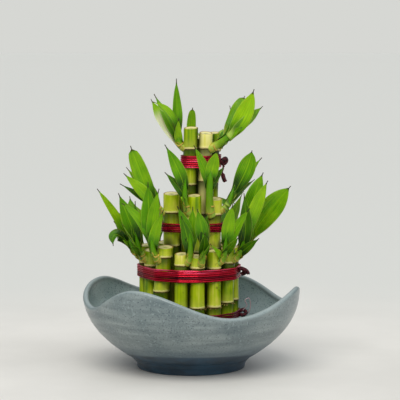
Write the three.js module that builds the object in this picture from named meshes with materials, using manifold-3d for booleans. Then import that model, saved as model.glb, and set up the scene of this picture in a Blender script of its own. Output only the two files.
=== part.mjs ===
// Lucky bamboo: three tiers of cut stalks, tied with red wire, in a wavy-rimmed stoneware bowl.
// Millimetres. +X is to the right of the front view, +Y to the back, +Z up. The origin is the
// middle of the bowl's foot, on the surface that the bowl stands on.

import * as THREE from 'three';
import { mergeVertices } from 'three/addons/utils/BufferGeometryUtils.js';
import Module from 'manifold-3d';

const wasm = await Module();
wasm.setup();

// Driving dimensions of the bowl

const BOWL = {
  footRadius: 40,
  footTopRadius: 43.4,
  footHeight: 7.1,
  footChamfer: 1,
  shoulderRadius: 45,
  shoulderHeight: 8.6,
  bellyRadius: 80.5,
  bellyHeight: 62,
  bellyPower: 2.5,
  wall: 4.2,
  floorHeight: 14,
  floorRadius: 43,
  sides: 40,
};

// The rim's four points and four dips: azimuth in degrees from +X, and height.
const RIM_WAVE = [
  { azimuth: -12, height: 61.5 },
  { azimuth: 23, height: 46 },
  { azimuth: 68, height: 60 },
  { azimuth: 110, height: 47 },
  { azimuth: 151, height: 62 },
  { azimuth: 203, height: 49 },
  { azimuth: 240, height: 66 },
  { azimuth: 293, height: 47 },
];

const WATER_LEVEL = 27;
const WATER_SIDES = 24;

// Gap between pieces that touch.
const SEAT = 0.3;

// Driving dimensions of the stalks. Each has the place of its foot, the place and height of its
// cut top, its diameter and the heights of its nodes above the tier that stands round it.

const STALK_FOOT = BOWL.floorHeight + SEAT;
const STALK_SIDES = 10;
const NODE_SWELL = 1.045;
const NODE_HALF_HEIGHT = 1.6;

const LOWER_RING = { centre: [-1.7, 0], radius: 31.5 };

const LOWER_STALKS = [
  { foot: [29.8, -1.6], top: [29.8, -1.6], height: 90, diameter: 10.6, nodes: [51, 79] },
  ...backStalks(),
  { foot: [-33.1, 2.3], top: [-33.1, 2.3], height: 91, diameter: 10.4, nodes: [47, 78] },
  { foot: [-29.5, -9.5], top: [-29.2, -9.5], height: 89, diameter: 9.8, nodes: [52, 77] },
  { foot: [-26, -23], top: [-18.5, -22.5], height: 92.5, diameter: 11.4, nodes: [36, 60, 85] },
  { foot: [-7.3, -31], top: [-6.8, -31], height: 88.5, diameter: 9.9, nodes: [48, 80] },
  { foot: [4.1, -31], top: [4.4, -31], height: 87, diameter: 11, nodes: [49, 78] },
  { foot: [16.6, -25.6], top: [16.6, -25.6], height: 90, diameter: 10, nodes: [49, 77] },
  { foot: [24.3, -16], top: [27, -16.5], height: 91, diameter: 10.6, nodes: [51, 80] },
];

const MIDDLE_STALKS = [
  { foot: [-14.3, -11], top: [-14.3, -11], height: 130.5, diameter: 11.8, nodes: [92, 116.5] },
  { foot: [2.4, -17.5], top: [2.4, -17.5], height: 129.5, diameter: 10.2, nodes: [88, 112] },
  { foot: [13.1, -13.5], top: [17.5, -12.5], height: 127, diameter: 10.6, nodes: [90, 115] },
  { foot: [9, 17], top: [9, 17], height: 128, diameter: 11, nodes: [95, 117] },
  { foot: [-4, 17.2], top: [-4, 17.2], height: 131, diameter: 11.2, nodes: [90, 114] },
  { foot: [-13.5, 5], top: [-13.5, 5], height: 129, diameter: 11.4, nodes: [96] },
];

const UPPER_STALKS = [
  { foot: [-4.2, -4.2], top: [0, -4], height: 178, diameter: 10.5, nodes: [110, 136.3, 162.5] },
  { foot: [6.8, -4.7], top: [11, -4.5], height: 174.6, diameter: 9.8, nodes: [115, 139, 163] },
  { foot: [12, 4.6], top: [16.2, 4.8], height: 173.8, diameter: 10, nodes: [113, 137, 161] },
  { foot: [1.1, 5.3], top: [5.3, 5.3], height: 171, diameter: 10.3, nodes: [116, 140, 160] },
];

// Driving dimensions of the wire ties. Each is a band of strands round its stalks.

const TIE_GAP = 0.35;
const TIE_THICKNESS = 1.5;
const TIES = [
  { name: 'tie_bottom', height: 40.3, width: 5.5, azimuth: -4, tiers: ['lower'] },
  { name: 'tie_lower', height: 71.8, width: 9, azimuth: -16, tiers: ['lower'] },
  { name: 'tie_middle', height: 105, width: 6.6, azimuth: -28, tiers: ['middle', 'upper'] },
  { name: 'tie_upper', height: 152.5, width: 9.4, azimuth: 2, tiers: ['upper'] },
];

// Driving dimensions of the shoots. A shoot leaves its stalk at a height and an azimuth, and its
// stem bends up to a crown. A leaf starts part of the way up the stem and ends at its tip.
// "face" is the azimuth that the leaf's upper side looks to, and "bow" is how far the leaf first
// follows the stem, or "bend" the place that it bends towards. Places are in the whole object's frame.
// A shoot with a "girth" has a thicker stem than the others.

const STEM_RADIUS = 2.9;
const STEM_TAPER = 0.8;
const ELBOW_OUT = 3.5;
const ELBOW_RISE = 2;
const LEAF_RIB = 1.2;
const LEAF_CLEARANCE = 2.5;
const STALK_CLEARANCE = 1;
const FRONT = -90;

// A leaf's form is the place of its belly along the blade and how slowly it narrows to its point.
const LANCE = { bellyPlace: 1.35, pointedness: 0.85 };
const BROAD = { bellyPlace: 1.5, pointedness: 0.72 };
const STRAP = { bellyPlace: 1.9, pointedness: 0.28 };

const SHOOTS = [
  // The upper tier
  {
    name: 'shoot_upper_1', stalk: 'stalk_upper_1', height: 160.5, azimuth: 186, crown: [-9.5, -4, 170],
    leaves: [
      { tip: [-10.7, 2, 213], width: 7.5, face: -60, start: 0.95, bow: 12 },
      { tip: [-28.6, -9, 196.5], width: 5, face: -50, start: 0.85, bend: [-9.5, -9, 191] },
      { tip: [-29.5, 3, 198], width: 10, face: -60, start: 0.6, bend: [-19, 0, 176] },
      { tip: [-27.3, 9, 201.5], width: 7.5, face: -70, start: 0.75, bow: 8 },
      { tip: [-8.8, -10, 184.4], width: 5, face: FRONT, start: 0.5, bow: 5 },
    ],
  },
  {
    name: 'shoot_upper_2', stalk: 'stalk_upper_2', height: 161, azimuth: -24, crown: [28.5, -9.5, 171.5], girth: 3.7,
    leaves: [
      { tip: [46, -8, 205.5], width: 12.5, face: FRONT, start: 0.9, bow: 14, form: BROAD },
      { tip: [52.5, -3, 192.8], width: 9, face: 110, start: 0.95, bow: 14 },
      { tip: [39.5, -1, 200.3], width: 10.5, face: -110, start: 0.85, bend: [32, -5, 185], form: STRAP },
      { tip: [37, -15, 178], width: 6, face: -130, start: 0.75, bow: 9 },
      { tip: [28.5, 4, 193], width: 4, face: -60, start: 0.5, bow: 16 },
    ],
  },
  {
    name: 'shoot_upper_3', stalk: 'stalk_upper_3', height: 159, azimuth: 48, crown: [23, 14, 167],
    leaves: [
      { tip: [37, 26, 182], width: 10, face: 210, start: 0.95, bow: 8 },
      { tip: [24, 38, 174], width: 9, face: 270, start: 0.8, bow: 8 },
      { tip: [40, 16, 175], width: 8, face: 200, start: 0.6, bow: 6 },
    ],
  },
  {
    name: 'shoot_upper_4', stalk: 'stalk_upper_4', height: 158, azimuth: 125, crown: [0, 14.5, 168],
    leaves: [
      { tip: [1.2, 15, 191.2], width: 6.2, face: FRONT, start: 0.95, bow: 8, form: STRAP },
      { tip: [5, 36, 172], width: 10, face: 270, start: 0.8, bow: 8 },
      { tip: [-4, 32, 166], width: 8, face: 290, start: 0.6, bow: 5 },
    ],
  },
  // The middle tier
  {
    name: 'shoot_middle_1', stalk: 'stalk_middle_1', height: 114, azimuth: 192, crown: [-28, -12, 124],
    leaves: [
      { tip: [-44.2, -8, 164.2], width: 11.5, face: FRONT, start: 0.95, bow: 10, form: STRAP },
      { tip: [-47.6, -1, 148], width: 6, face: -60, start: 0.85, bow: 9 },
      { tip: [-49, -15, 144.6], width: 8.5, face: -80, start: 0.75, bow: 9 },
      { tip: [-52, -9, 136.5], width: 5, face: -80, start: 0.6, bow: 7 },
    ],
  },
  {
    name: 'shoot_middle_2', stalk: 'stalk_middle_2', height: 114, azimuth: 208, crown: [-4.5, -22, 132.5],
    leaves: [
      { tip: [-19, -22, 166], width: 9, face: FRONT, start: 0.95, bow: 10 },
      { tip: [-17.5, -15, 146], width: 6, face: FRONT, start: 0.8, bow: 5 },
      { tip: [-10.2, -20, 137], width: 3.5, face: -60, start: 0.65, bow: 4 },
      { tip: [-7.5, -28, 129], width: 5, face: -30, start: 0.4, bow: 5 },
    ],
  },
  {
    name: 'shoot_middle_3', stalk: 'stalk_middle_3', height: 111, azimuth: 238, crown: [13.8, -20, 140], girth: 3.7,
    leaves: [
      { tip: [2, -21, 165.4], width: 7, face: FRONT, start: 0.85, bow: 10 },
      { tip: [19, -22, 161.7], width: 9, face: FRONT, start: 0.95, bow: 7, form: BROAD },
      { tip: [24.5, -16, 150], width: 5, face: -70, start: 0.85, bow: 5 },
    ],
  },
  {
    name: 'shoot_middle_4', stalk: 'stalk_middle_3', height: 115, azimuth: -6, crown: [29, -12.5, 127],
    leaves: [
      { tip: [44.4, -13, 161.2], width: 12.5, face: FRONT, start: 0.95, bend: [42, -13, 146], form: BROAD },
      { tip: [52, -5, 155.4], width: 5.5, face: -60, start: 0.8, bow: 17 },
      { tip: [46.9, -3, 139.2], width: 6, face: 120, start: 0.65, bow: 8 },
      { tip: [39.3, 5, 129.7], width: 7, face: 130, start: 0.5, bow: 5 },
    ],
  },
  {
    name: 'shoot_middle_5', stalk: 'stalk_middle_4', height: 115, azimuth: 85, crown: [11, 29, 127],
    leaves: [
      { tip: [15, 42, 163], width: 10, face: 260, start: 0.95, bow: 10 },
      { tip: [19, 54, 150], width: 9.5, face: 250, start: 0.85, bow: 8 },
      { tip: [3, 54, 142], width: 9, face: 280, start: 0.7, bow: 7 },
      { tip: [33, 34, 118], width: 8, face: 220, start: 0.5, bow: 5 },
    ],
  },
  {
    name: 'shoot_middle_6', stalk: 'stalk_middle_5', height: 117, azimuth: 100, crown: [-5, 28, 128],
    leaves: [
      { tip: [-2, 40, 164], width: 10, face: 270, start: 0.95, bow: 10 },
      { tip: [-14, 42, 150], width: 9, face: 300, start: 0.85, bow: 8 },
      { tip: [-16, 50, 136], width: 8.5, face: 310, start: 0.65, bow: 6 },
    ],
  },
  {
    name: 'shoot_middle_7', stalk: 'stalk_middle_6', height: 111, azimuth: 165, crown: [-25, 9, 119],
    leaves: [
      { tip: [-38, 13, 146], width: 8.5, face: -50, start: 0.95, bow: 7 },
      { tip: [-34, 32, 138], width: 9, face: -40, start: 0.8, bow: 7 },
      { tip: [-41, 18, 129], width: 7.5, face: -20, start: 0.6, bow: 6 },
    ],
  },
  // The lower tier: the shoots that the front shows, from the right round the front to the left
  {
    name: 'shoot_lower_1', stalk: 'stalk_lower_1', height: 80, azimuth: 4, crown: [41, -1.5, 92],
    leaves: [
      { tip: [73, -8, 134.7], width: 16.5, face: FRONT, start: 0.95, bend: [56, -6, 115.5], form: BROAD },
      { tip: [39.5, 4, 129.7], width: 8, face: -100, start: 0.75, bow: 12 },
      { tip: [59, 7, 117], width: 6.5, face: 120, start: 0.6, bow: 12 },
      { tip: [49.5, 3, 93.5], width: 4, face: 150, start: 0.4, bow: 7 },
    ],
  },
  {
    name: 'shoot_lower_14', stalk: 'stalk_lower_14', height: 80, azimuth: -28, crown: [37.5, -21, 92],
    leaves: [
      { tip: [52.5, -17, 145.4], width: 12.5, face: -80, start: 0.95, bend: [42.5, -19, 124] },
      { tip: [55.5, -24, 140], width: 9, face: -70, start: 0.85, bend: [45, -25, 120] },
      { tip: [38.1, -28, 131.3], width: 9.5, face: -100, start: 0.7, bow: 14 },
      { tip: [49, -33, 99], width: 5.5, face: -60, start: 0.5, bow: 7 },
    ],
  },
  {
    name: 'shoot_lower_13', stalk: 'stalk_lower_13', height: 79, azimuth: -20, crown: [25, -31, 93],
    leaves: [
      { tip: [29.9, -34, 123.8], width: 8.8, face: FRONT, start: 0.95, bow: 9, form: BROAD },
      { tip: [42, -37, 121], width: 7.5, face: -100, start: 0.75, bow: 14 },
      { tip: [34, -43, 101], width: 5.5, face: -60, start: 0.6, bow: 7 },
      { tip: [19, -37, 95], width: 3.5, face: -60, start: 0.4, bow: 5 },
    ],
  },
  {
    name: 'shoot_lower_12', stalk: 'stalk_lower_12', height: 78, azimuth: -58, crown: [8.8, -39, 96],
    leaves: [
      { tip: [4.5, -41, 121], width: 9, face: FRONT, start: 0.95, bow: 9 },
      { tip: [11.5, -38, 118], width: 6.5, face: -80, start: 0.8, bow: 9 },
      { tip: [10, -50, 105], width: 7, face: -80, start: 0.6, bow: 6 },
      { tip: [14, -46, 97], width: 4.5, face: -50, start: 0.5, bow: 5 },
    ],
  },
  {
    name: 'shoot_lower_11', stalk: 'stalk_lower_11', height: 79, azimuth: -30, crown: [-0.5, -37, 96],
    leaves: [
      { tip: [-9.8, -38, 122.8], width: 7.6, face: FRONT, start: 0.9, bow: 9 },
      { tip: [2, -36, 122], width: 8, face: -100, start: 0.8, bow: 10 },
      { tip: [-4, -42, 116], width: 8, face: FRONT, start: 0.65, bow: 8 },
    ],
  },
  {
    name: 'shoot_lower_10', stalk: 'stalk_lower_10', height: 80, azimuth: 222, crown: [-28, -29, 94],
    leaves: [
      { tip: [-31, -25, 139.3], width: 11.5, face: FRONT, start: 0.85, bow: 16 },
      { tip: [-23, -28, 134.5], width: 8, face: -85, start: 0.95, bow: 14 },
      { tip: [-19.5, -33, 120], width: 7.5, face: -95, start: 0.7, bow: 9 },
      { tip: [-50, -28, 124], width: 7, face: -80, start: 0.55, bend: [-31, -31, 112] },
    ],
  },
  {
    name: 'shoot_lower_9', stalk: 'stalk_lower_9', height: 79, azimuth: 205, crown: [-39, -15, 93],
    leaves: [
      { tip: [-53, -13, 130], width: 11, face: FRONT, start: 0.9, bow: 14 },
      { tip: [-40.8, -11, 124], width: 7, face: -70, start: 0.75, bow: 10 },
      { tip: [-50, -20, 108], width: 5, face: 200, start: 0.6, bow: 8 },
      { tip: [-46.5, -31, 93.5], width: 5, face: -60, start: 0.45, bow: 5 },
    ],
  },
  {
    name: 'shoot_lower_8', stalk: 'stalk_lower_8', height: 80, azimuth: 186, crown: [-44, 0, 91],
    leaves: [
      { tip: [-69, -3, 132.3], width: 5.6, face: -70, start: 0.95, bend: [-55, -1, 113] },
      { tip: [-57.4, 6, 107.6], width: 6.5, face: -60, start: 0.75, bow: 6 },
      { tip: [-57, -7, 90.5], width: 8.5, face: 235, start: 0.9, bend: [-60, -4, 107] },
      { tip: [-57, 9, 117], width: 8, face: -60, start: 0.6, bow: 8 },
      { tip: [-47.8, -8, 91.5], width: 4.5, face: -60, start: 0.35, bow: 4 },
    ],
  },
  // The lower tier: the shoots at the back
  ...[2, 3, 4, 5, 6, 7].map((number) => backShoot(number)),
];

// A back stalk of the lower tier stands on the ring, one step on from its neighbour.

function backStalks() {
  const first = 22.6;
  const step = 25.55;
  const stalks = [];
  for (let k = 0; k < 6; k += 1) {
    const angle = THREE.MathUtils.degToRad(first + step * k);
    const place = [
      LOWER_RING.centre[0] + LOWER_RING.radius * Math.cos(angle),
      LOWER_RING.centre[1] + LOWER_RING.radius * Math.sin(angle),
    ];
    stalks.push({
      foot: place,
      top: place,
      height: 90 + 2 * Math.sin(2.3 * k),
      diameter: 10.8 + 0.6 * Math.cos(1.7 * k),
      nodes: [49 + 3 * Math.sin(1.9 * k), 78 + 2 * Math.cos(k)],
    });
  }
  return stalks;
}

// A back shoot grows straight out from its stalk, and its leaves fan out round a direction that
// is nearer to straight back.

function backShoot(number) {
  const fan = [
    { turn: -18, lean: 30, length: 32, width: 11, start: 0.95 },
    { turn: 34, lean: 40, length: 30, width: 10, start: 0.8 },
    { turn: -58, lean: 46, length: 27, width: 9, start: 0.65 },
    { turn: 8, lean: 62, length: 25, width: 7.5, start: 0.5 },
  ];
  const stemReach = 8;
  const stemRise = 15;
  const straightBack = 90;
  const spread = 0.75;
  const foot = LOWER_STALKS[number - 1].foot;
  const azimuth = THREE.MathUtils.radToDeg(Math.atan2(foot[1] - LOWER_RING.centre[1], foot[0] - LOWER_RING.centre[0]));
  const heading = straightBack + spread * (azimuth - straightBack);
  const out = THREE.MathUtils.degToRad(azimuth);
  const reach = LOWER_STALKS[number - 1].diameter / 2 + stemReach;
  const height = 80 + Math.sin(2.7 * number);
  const crown = [foot[0] + reach * Math.cos(out), foot[1] + reach * Math.sin(out), height + stemRise];
  const leaves = fan.map((leaf, k) => {
    const sway = 9 * Math.sin(4.1 * number + 2.3 * k);
    const turn = THREE.MathUtils.degToRad(heading + leaf.turn + sway);
    const lean = THREE.MathUtils.degToRad(leaf.lean + 5 * Math.cos(3.3 * number + k));
    const across = leaf.length * Math.sin(lean);
    const tip = [
      crown[0] + across * Math.cos(turn),
      crown[1] + across * Math.sin(turn),
      crown[2] + leaf.length * Math.cos(lean),
    ];
    return { tip, width: leaf.width, face: heading + leaf.turn + 180, start: leaf.start, bow: 0.28 * leaf.length };
  });
  return { name: `shoot_lower_${number}`, stalk: `stalk_lower_${number}`, height, azimuth, crown, leaves };
}

// Mesh helpers

// Vertices closer together than this are one.
const WELD = 1e-3;

// The geometry's triangles on shared vertices, without those that have no area.
function welded(geometry) {
  const bare = geometry.clone();
  bare.deleteAttribute('normal');
  bare.deleteAttribute('uv');
  const merged = mergeVertices(bare, WELD);
  const source = merged.index.array;
  const kept = [];
  for (let i = 0; i < source.length; i += 3) {
    const [a, b, c] = [source[i], source[i + 1], source[i + 2]];
    if (a !== b && b !== c && c !== a) kept.push(a, b, c);
  }
  merged.setIndex(kept);
  return merged;
}

function toSolid(geometry) {
  const mesh = welded(geometry);
  return new wasm.Manifold(new wasm.Mesh({
    numProp: 3,
    vertProperties: new Float32Array(mesh.attributes.position.array),
    triVerts: new Uint32Array(mesh.index.array),
  }));
}

function toGeometry(solid) {
  const mesh = solid.getMesh();
  const geometry = new THREE.BufferGeometry();
  geometry.setAttribute('position', new THREE.BufferAttribute(new Float32Array(mesh.vertProperties), 3));
  geometry.setIndex(new THREE.BufferAttribute(new Uint32Array(mesh.triVerts), 1));
  return geometry;
}

// The outer skin of a solid's largest body, without the loose scraps and pockets that joins and
// cuts leave. Welding its vertices can part one more pocket, so it is sorted again after that.
function mainBody(solid) {
  const largest = (whole) => whole.decompose().reduce((best, body) => (body.volume() > best.volume() ? body : best));
  return largest(toSolid(toGeometry(largest(solid))));
}

// A closed skin over rings of points, which all have as many points. The first ring ends in a
// flat face, and the last one in a flat face or in a point of its own.
function skinned(rings, tip = null) {
  const positions = [];
  const count = rings[0].length;
  rings.forEach((ring) => ring.forEach((point) => positions.push(point.x, point.y, point.z)));
  const faces = [];
  for (let r = 0; r + 1 < rings.length; r += 1) {
    for (let k = 0; k < count; k += 1) {
      const a = r * count + k;
      const b = r * count + ((k + 1) % count);
      faces.push(a, b, b + count, a, b + count, a + count);
    }
  }
  for (let k = 1; k + 1 < count; k += 1) faces.push(0, k + 1, k);
  const last = (rings.length - 1) * count;
  if (tip) {
    positions.push(tip.x, tip.y, tip.z);
    for (let k = 0; k < count; k += 1) faces.push(last + k, last + ((k + 1) % count), last + count);
  } else {
    for (let k = 1; k + 1 < count; k += 1) faces.push(last, last + k, last + k + 1);
  }
  const geometry = new THREE.BufferGeometry();
  geometry.setAttribute('position', new THREE.Float32BufferAttribute(positions, 3));
  geometry.setIndex(faces);
  return geometry;
}

// Bowl

// Rim height at an azimuth, easing from each point to the next dip and back.
function rimHeight(azimuth) {
  const count = RIM_WAVE.length;
  const turn = 360;
  for (let k = 0; k < count; k += 1) {
    const from = RIM_WAVE[k];
    const to = RIM_WAVE[(k + 1) % count];
    const span = (to.azimuth - from.azimuth + turn) % turn;
    const along = (azimuth - from.azimuth + turn) % turn;
    if (along <= span) {
      const ease = (1 - Math.cos((Math.PI * along) / span)) / 2;
      return from.height + (to.height - from.height) * ease;
    }
  }
  return RIM_WAVE[0].height;
}

// Radius of a bowl wall that leaves the given start and is upright at the belly's height.
function wallRadius(height, startRadius, startHeight, endRadius) {
  const fall = Math.max(0, BOWL.bellyHeight - height) / (BOWL.bellyHeight - startHeight);
  return endRadius - (endRadius - startRadius) * fall ** BOWL.bellyPower;
}

function outerRadius(height) {
  return wallRadius(height, BOWL.shoulderRadius, BOWL.shoulderHeight, BOWL.bellyRadius);
}

function innerRadius(height) {
  return wallRadius(height, BOWL.floorRadius, BOWL.floorHeight, BOWL.bellyRadius - BOWL.wall);
}

// Profile of the bowl under a rim of the given height, from the foot's middle to the floor's.
function bowlProfile(rim) {
  const wallSteps = 5;
  const rimSteps = 4;
  const crowding = 1.7;
  const lip = BOWL.wall / 2;
  const wallTop = rim - lip;
  const points = [
    [0, 0],
    [BOWL.footRadius - BOWL.footChamfer, 0],
    [BOWL.footRadius, BOWL.footChamfer],
    [BOWL.footTopRadius, BOWL.footHeight],
  ];
  for (let k = 0; k < wallSteps; k += 1) {
    const height = BOWL.shoulderHeight + (wallTop - BOWL.shoulderHeight) * (k / wallSteps) ** crowding;
    points.push([outerRadius(height), height]);
  }
  const outer = outerRadius(wallTop);
  const inner = innerRadius(wallTop);
  for (let k = 0; k <= rimSteps; k += 1) {
    const angle = (Math.PI * k) / rimSteps;
    const middle = (outer + inner) / 2;
    points.push([middle + ((outer - inner) / 2) * Math.cos(angle), wallTop + lip * Math.sin(angle)]);
  }
  for (let k = wallSteps - 1; k >= 0; k -= 1) {
    const height = BOWL.floorHeight + (wallTop - BOWL.floorHeight) * (k / wallSteps) ** crowding;
    points.push([innerRadius(height), height]);
  }
  points.push([0, BOWL.floorHeight]);
  return points;
}

function bowlGeometry() {
  const mean = bowlProfile(BOWL.bellyHeight).map(([radius, height]) => new THREE.Vector2(radius, height));
  const lathe = new THREE.LatheGeometry(mean, BOWL.sides);
  lathe.rotateX(Math.PI / 2);
  const position = lathe.attributes.position;
  for (let side = 0; side <= BOWL.sides; side += 1) {
    const azimuth = (360 * side) / BOWL.sides;
    const angle = THREE.MathUtils.degToRad(azimuth);
    bowlProfile(rimHeight(azimuth)).forEach(([radius, height], k) => {
      position.setXYZ(side * mean.length + k, radius * Math.cos(angle), radius * Math.sin(angle), height);
    });
  }
  return lathe;
}

// Stalks

function stalkPoint(stalk, height) {
  const part = (height - STALK_FOOT) / (stalk.height - STALK_FOOT);
  return new THREE.Vector3(
    stalk.foot[0] + (stalk.top[0] - stalk.foot[0]) * part,
    stalk.foot[1] + (stalk.top[1] - stalk.foot[1]) * part,
    height,
  );
}

// A stalk is a turned profile with a swelling at each node, sheared to lean from foot to top.
function stalkGeometry(stalk, growth = 0) {
  const radius = stalk.diameter / 2 + growth;
  const profile = [new THREE.Vector2(0, STALK_FOOT - growth), new THREE.Vector2(radius, STALK_FOOT - growth)];
  stalk.nodes.forEach((node) => {
    profile.push(new THREE.Vector2(radius, node - NODE_HALF_HEIGHT));
    profile.push(new THREE.Vector2(radius * NODE_SWELL, node));
    profile.push(new THREE.Vector2(radius, node + NODE_HALF_HEIGHT));
  });
  profile.push(new THREE.Vector2(radius, stalk.height + growth), new THREE.Vector2(0, stalk.height + growth));
  const lathe = new THREE.LatheGeometry(profile, STALK_SIDES);
  lathe.rotateX(Math.PI / 2);
  const position = lathe.attributes.position;
  for (let i = 0; i < position.count; i += 1) {
    const centre = stalkPoint(stalk, position.getZ(i));
    position.setXYZ(i, position.getX(i) + centre.x, position.getY(i) + centre.y, position.getZ(i));
  }
  return lathe;
}

// Ties

// The outline that a taut band takes round circles, by gift wrapping points on them.
function tautOutline(circles) {
  const points = [];
  circles.forEach(({ centre, radius }) => {
    for (let k = 0; k < STALK_SIDES; k += 1) {
      const angle = (2 * Math.PI * k) / STALK_SIDES - Math.PI / 2;
      points.push(new THREE.Vector2(centre.x + radius * Math.cos(angle), centre.y + radius * Math.sin(angle)));
    }
  });
  const start = points.reduce((best, point) => (point.x < best.x ? point : best));
  const hull = [];
  let current = start;
  do {
    hull.push(current);
    let next = points[0];
    points.forEach((point) => {
      const turn = (next.x - current.x) * (point.y - current.y) - (next.y - current.y) * (point.x - current.x);
      if (next === current || turn < 0) next = point;
    });
    current = next;
  } while (current !== start);
  return hull;
}

function tieGeometry(tie, stalks) {
  const edges = [tie.height - tie.width / 2, tie.height + tie.width / 2];
  const around = (offset) => tautOutline(stalks.flatMap((stalk) => edges.map((height) => ({
    centre: stalkPoint(stalk, height),
    radius: stalk.diameter / 2 + offset,
  }))));
  const band = new THREE.Shape(around(TIE_GAP + TIE_THICKNESS));
  band.holes.push(new THREE.Path(around(TIE_GAP)));
  const strip = new THREE.ExtrudeGeometry(band, { depth: tie.width, bevelEnabled: false });
  strip.translate(0, 0, tie.height - tie.width / 2);
  return strip;
}

// Where a ray from the middle of the tie's stalks leaves the band.
function tieEdge(tie, stalks) {
  const middle = new THREE.Vector3();
  stalks.forEach((stalk) => middle.add(stalkPoint(stalk, tie.height)).sub(new THREE.Vector3(0, 0, tie.height)));
  middle.divideScalar(stalks.length);
  const angle = THREE.MathUtils.degToRad(tie.azimuth);
  const out = new THREE.Vector3(Math.cos(angle), Math.sin(angle), 0);
  const reach = Math.max(...stalks.map((stalk) => {
    const centre = stalkPoint(stalk, tie.height).sub(middle);
    return centre.dot(out) + stalk.diameter / 2;
  }));
  return middle.add(out.multiplyScalar(reach + TIE_GAP)).setZ(tie.height);
}

// The knot is two fat ends of twisted wire, side by side.
function knotGeometries(tie, stalks) {
  const edge = tieEdge(tie, stalks);
  const angle = THREE.MathUtils.degToRad(tie.azimuth);
  const sides = 7;
  const rows = 4;
  const lobes = [
    { along: 3, rise: 0.8, radius: 3 },
    { along: 6.5, rise: -0.4, radius: 2.5 },
  ];
  return lobes.map((lobe) => {
    const ball = new THREE.SphereGeometry(lobe.radius, sides, rows);
    ball.translate(edge.x + lobe.along * Math.cos(angle), edge.y + lobe.along * Math.sin(angle), edge.z + lobe.rise);
    return ball;
  });
}

// Shoots

// A stem leaves its stalk's axis nearly level, and bends up to the crown beyond an elbow.
function stemCurve(shoot, stalk) {
  const axis = stalkPoint(stalk, shoot.height);
  const out = THREE.MathUtils.degToRad(shoot.azimuth);
  const elbowReach = stalk.diameter / 2 + ELBOW_OUT;
  const elbow = new THREE.Vector3(
    axis.x + elbowReach * Math.cos(out),
    axis.y + elbowReach * Math.sin(out),
    shoot.height + ELBOW_RISE,
  );
  return new THREE.QuadraticBezierCurve3(axis, elbow, new THREE.Vector3(...shoot.crown));
}

function stemGeometry(curve, girth) {
  const sides = 5;
  const steps = 3;
  const rings = [];
  for (let s = 0; s <= steps; s += 1) {
    const centre = curve.getPoint(s / steps);
    const along = curve.getTangent(s / steps);
    const across = new THREE.Vector3(along.y, -along.x, 0).normalize();
    const up = new THREE.Vector3().crossVectors(along, across).normalize();
    const radius = girth * (1 - ((1 - STEM_TAPER) * s) / steps);
    const ring = [];
    for (let k = 0; k < sides; k += 1) {
      const angle = (2 * Math.PI * k) / sides;
      ring.push(centre.clone()
        .addScaledVector(across, radius * Math.cos(angle))
        .addScaledVector(up, radius * Math.sin(angle)));
    }
    rings.push(ring);
  }
  return skinned(rings);
}

// Half the blade's width at a part of its length: a narrow foot, a belly and a fine point beyond
// the blade's body.
function bladeHalfWidth(leaf, part) {
  const footHalfWidth = 2.6;
  const bodyPart = 0.95;
  const { bellyPlace, pointedness } = leaf.form ?? LANCE;
  const body = Math.min(1, part / bodyPart);
  const belly = Math.max(0, Math.sin(Math.PI * body ** bellyPlace)) ** pointedness;
  return footHalfWidth * (1 - part) ** 2 + (leaf.width / 2) * belly;
}

// The spine runs along the stem first and then bends to the tip, turned about the leaf's foot.
function leafSpine(leaf, stem, turn) {
  const foot = stem.getPoint(leaf.start);
  const bend = leaf.bend
    ? new THREE.Vector3(...leaf.bend)
    : foot.clone().addScaledVector(stem.getTangent(leaf.start), leaf.bow);
  const angle = THREE.MathUtils.degToRad(turn);
  const turned = (point) => point.clone().sub(foot).applyAxisAngle(new THREE.Vector3(0, 0, 1), angle).add(foot);
  return new THREE.QuadraticBezierCurve3(foot, turned(bend), turned(new THREE.Vector3(...leaf.tip)));
}

// Centre, edge-to-edge direction and upper side's direction of the blade at a part of its length.
function bladeFrame(leaf, spine, part) {
  const lift = 0.5;
  const face = THREE.MathUtils.degToRad(leaf.face);
  const along = spine.getTangent(part);
  const across = new THREE.Vector3(Math.cos(face), Math.sin(face), lift).cross(along).normalize();
  return { centre: spine.getPoint(part), across, up: new THREE.Vector3().crossVectors(along, across).normalize() };
}

// A blade is a flat diamond in section, folded a little along its rib. Its foot is sunk in the stem.
function leafGeometry(leaf, spine) {
  const slim = 6.5;
  const parts = leaf.width < slim ? [0, 0.4, 0.75] : [0, 0.32, 0.6, 0.85];
  const fold = 0.22;
  const sunkHalfWidth = 1.2;
  const rings = parts.map((part) => {
    const { centre, across, up } = bladeFrame(leaf, spine, part);
    const half = part === 0 ? sunkHalfWidth : bladeHalfWidth(leaf, part);
    const edgeLift = fold * half;
    return [
      centre.clone().addScaledVector(up, LEAF_RIB / 2),
      centre.clone().addScaledVector(across, half).addScaledVector(up, edgeLift),
      centre.clone().addScaledVector(up, -LEAF_RIB / 2),
      centre.clone().addScaledVector(across, -half).addScaledVector(up, edgeLift),
    ].reverse();
  });
  return skinned(rings, spine.getPoint(1));
}

// Points spread over a blade, for keeping it clear of its neighbours.
function bladePoints(leaf, spine) {
  const rows = 12;
  const columns = 5;
  const points = [];
  for (let row = 1; row <= rows; row += 1) {
    const part = row / rows;
    const { centre, across } = bladeFrame(leaf, spine, part);
    const half = bladeHalfWidth(leaf, part);
    for (let column = 0; column < columns; column += 1) {
      const side = (2 * column) / (columns - 1) - 1;
      points.push(centre.clone().addScaledVector(across, side * half));
    }
  }
  return points;
}

function stalkDistance(stalk, point) {
  const height = Math.min(Math.max(point.z, STALK_FOOT), stalk.height);
  return stalkPoint(stalk, height).distanceTo(point) - stalk.diameter / 2;
}

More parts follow.
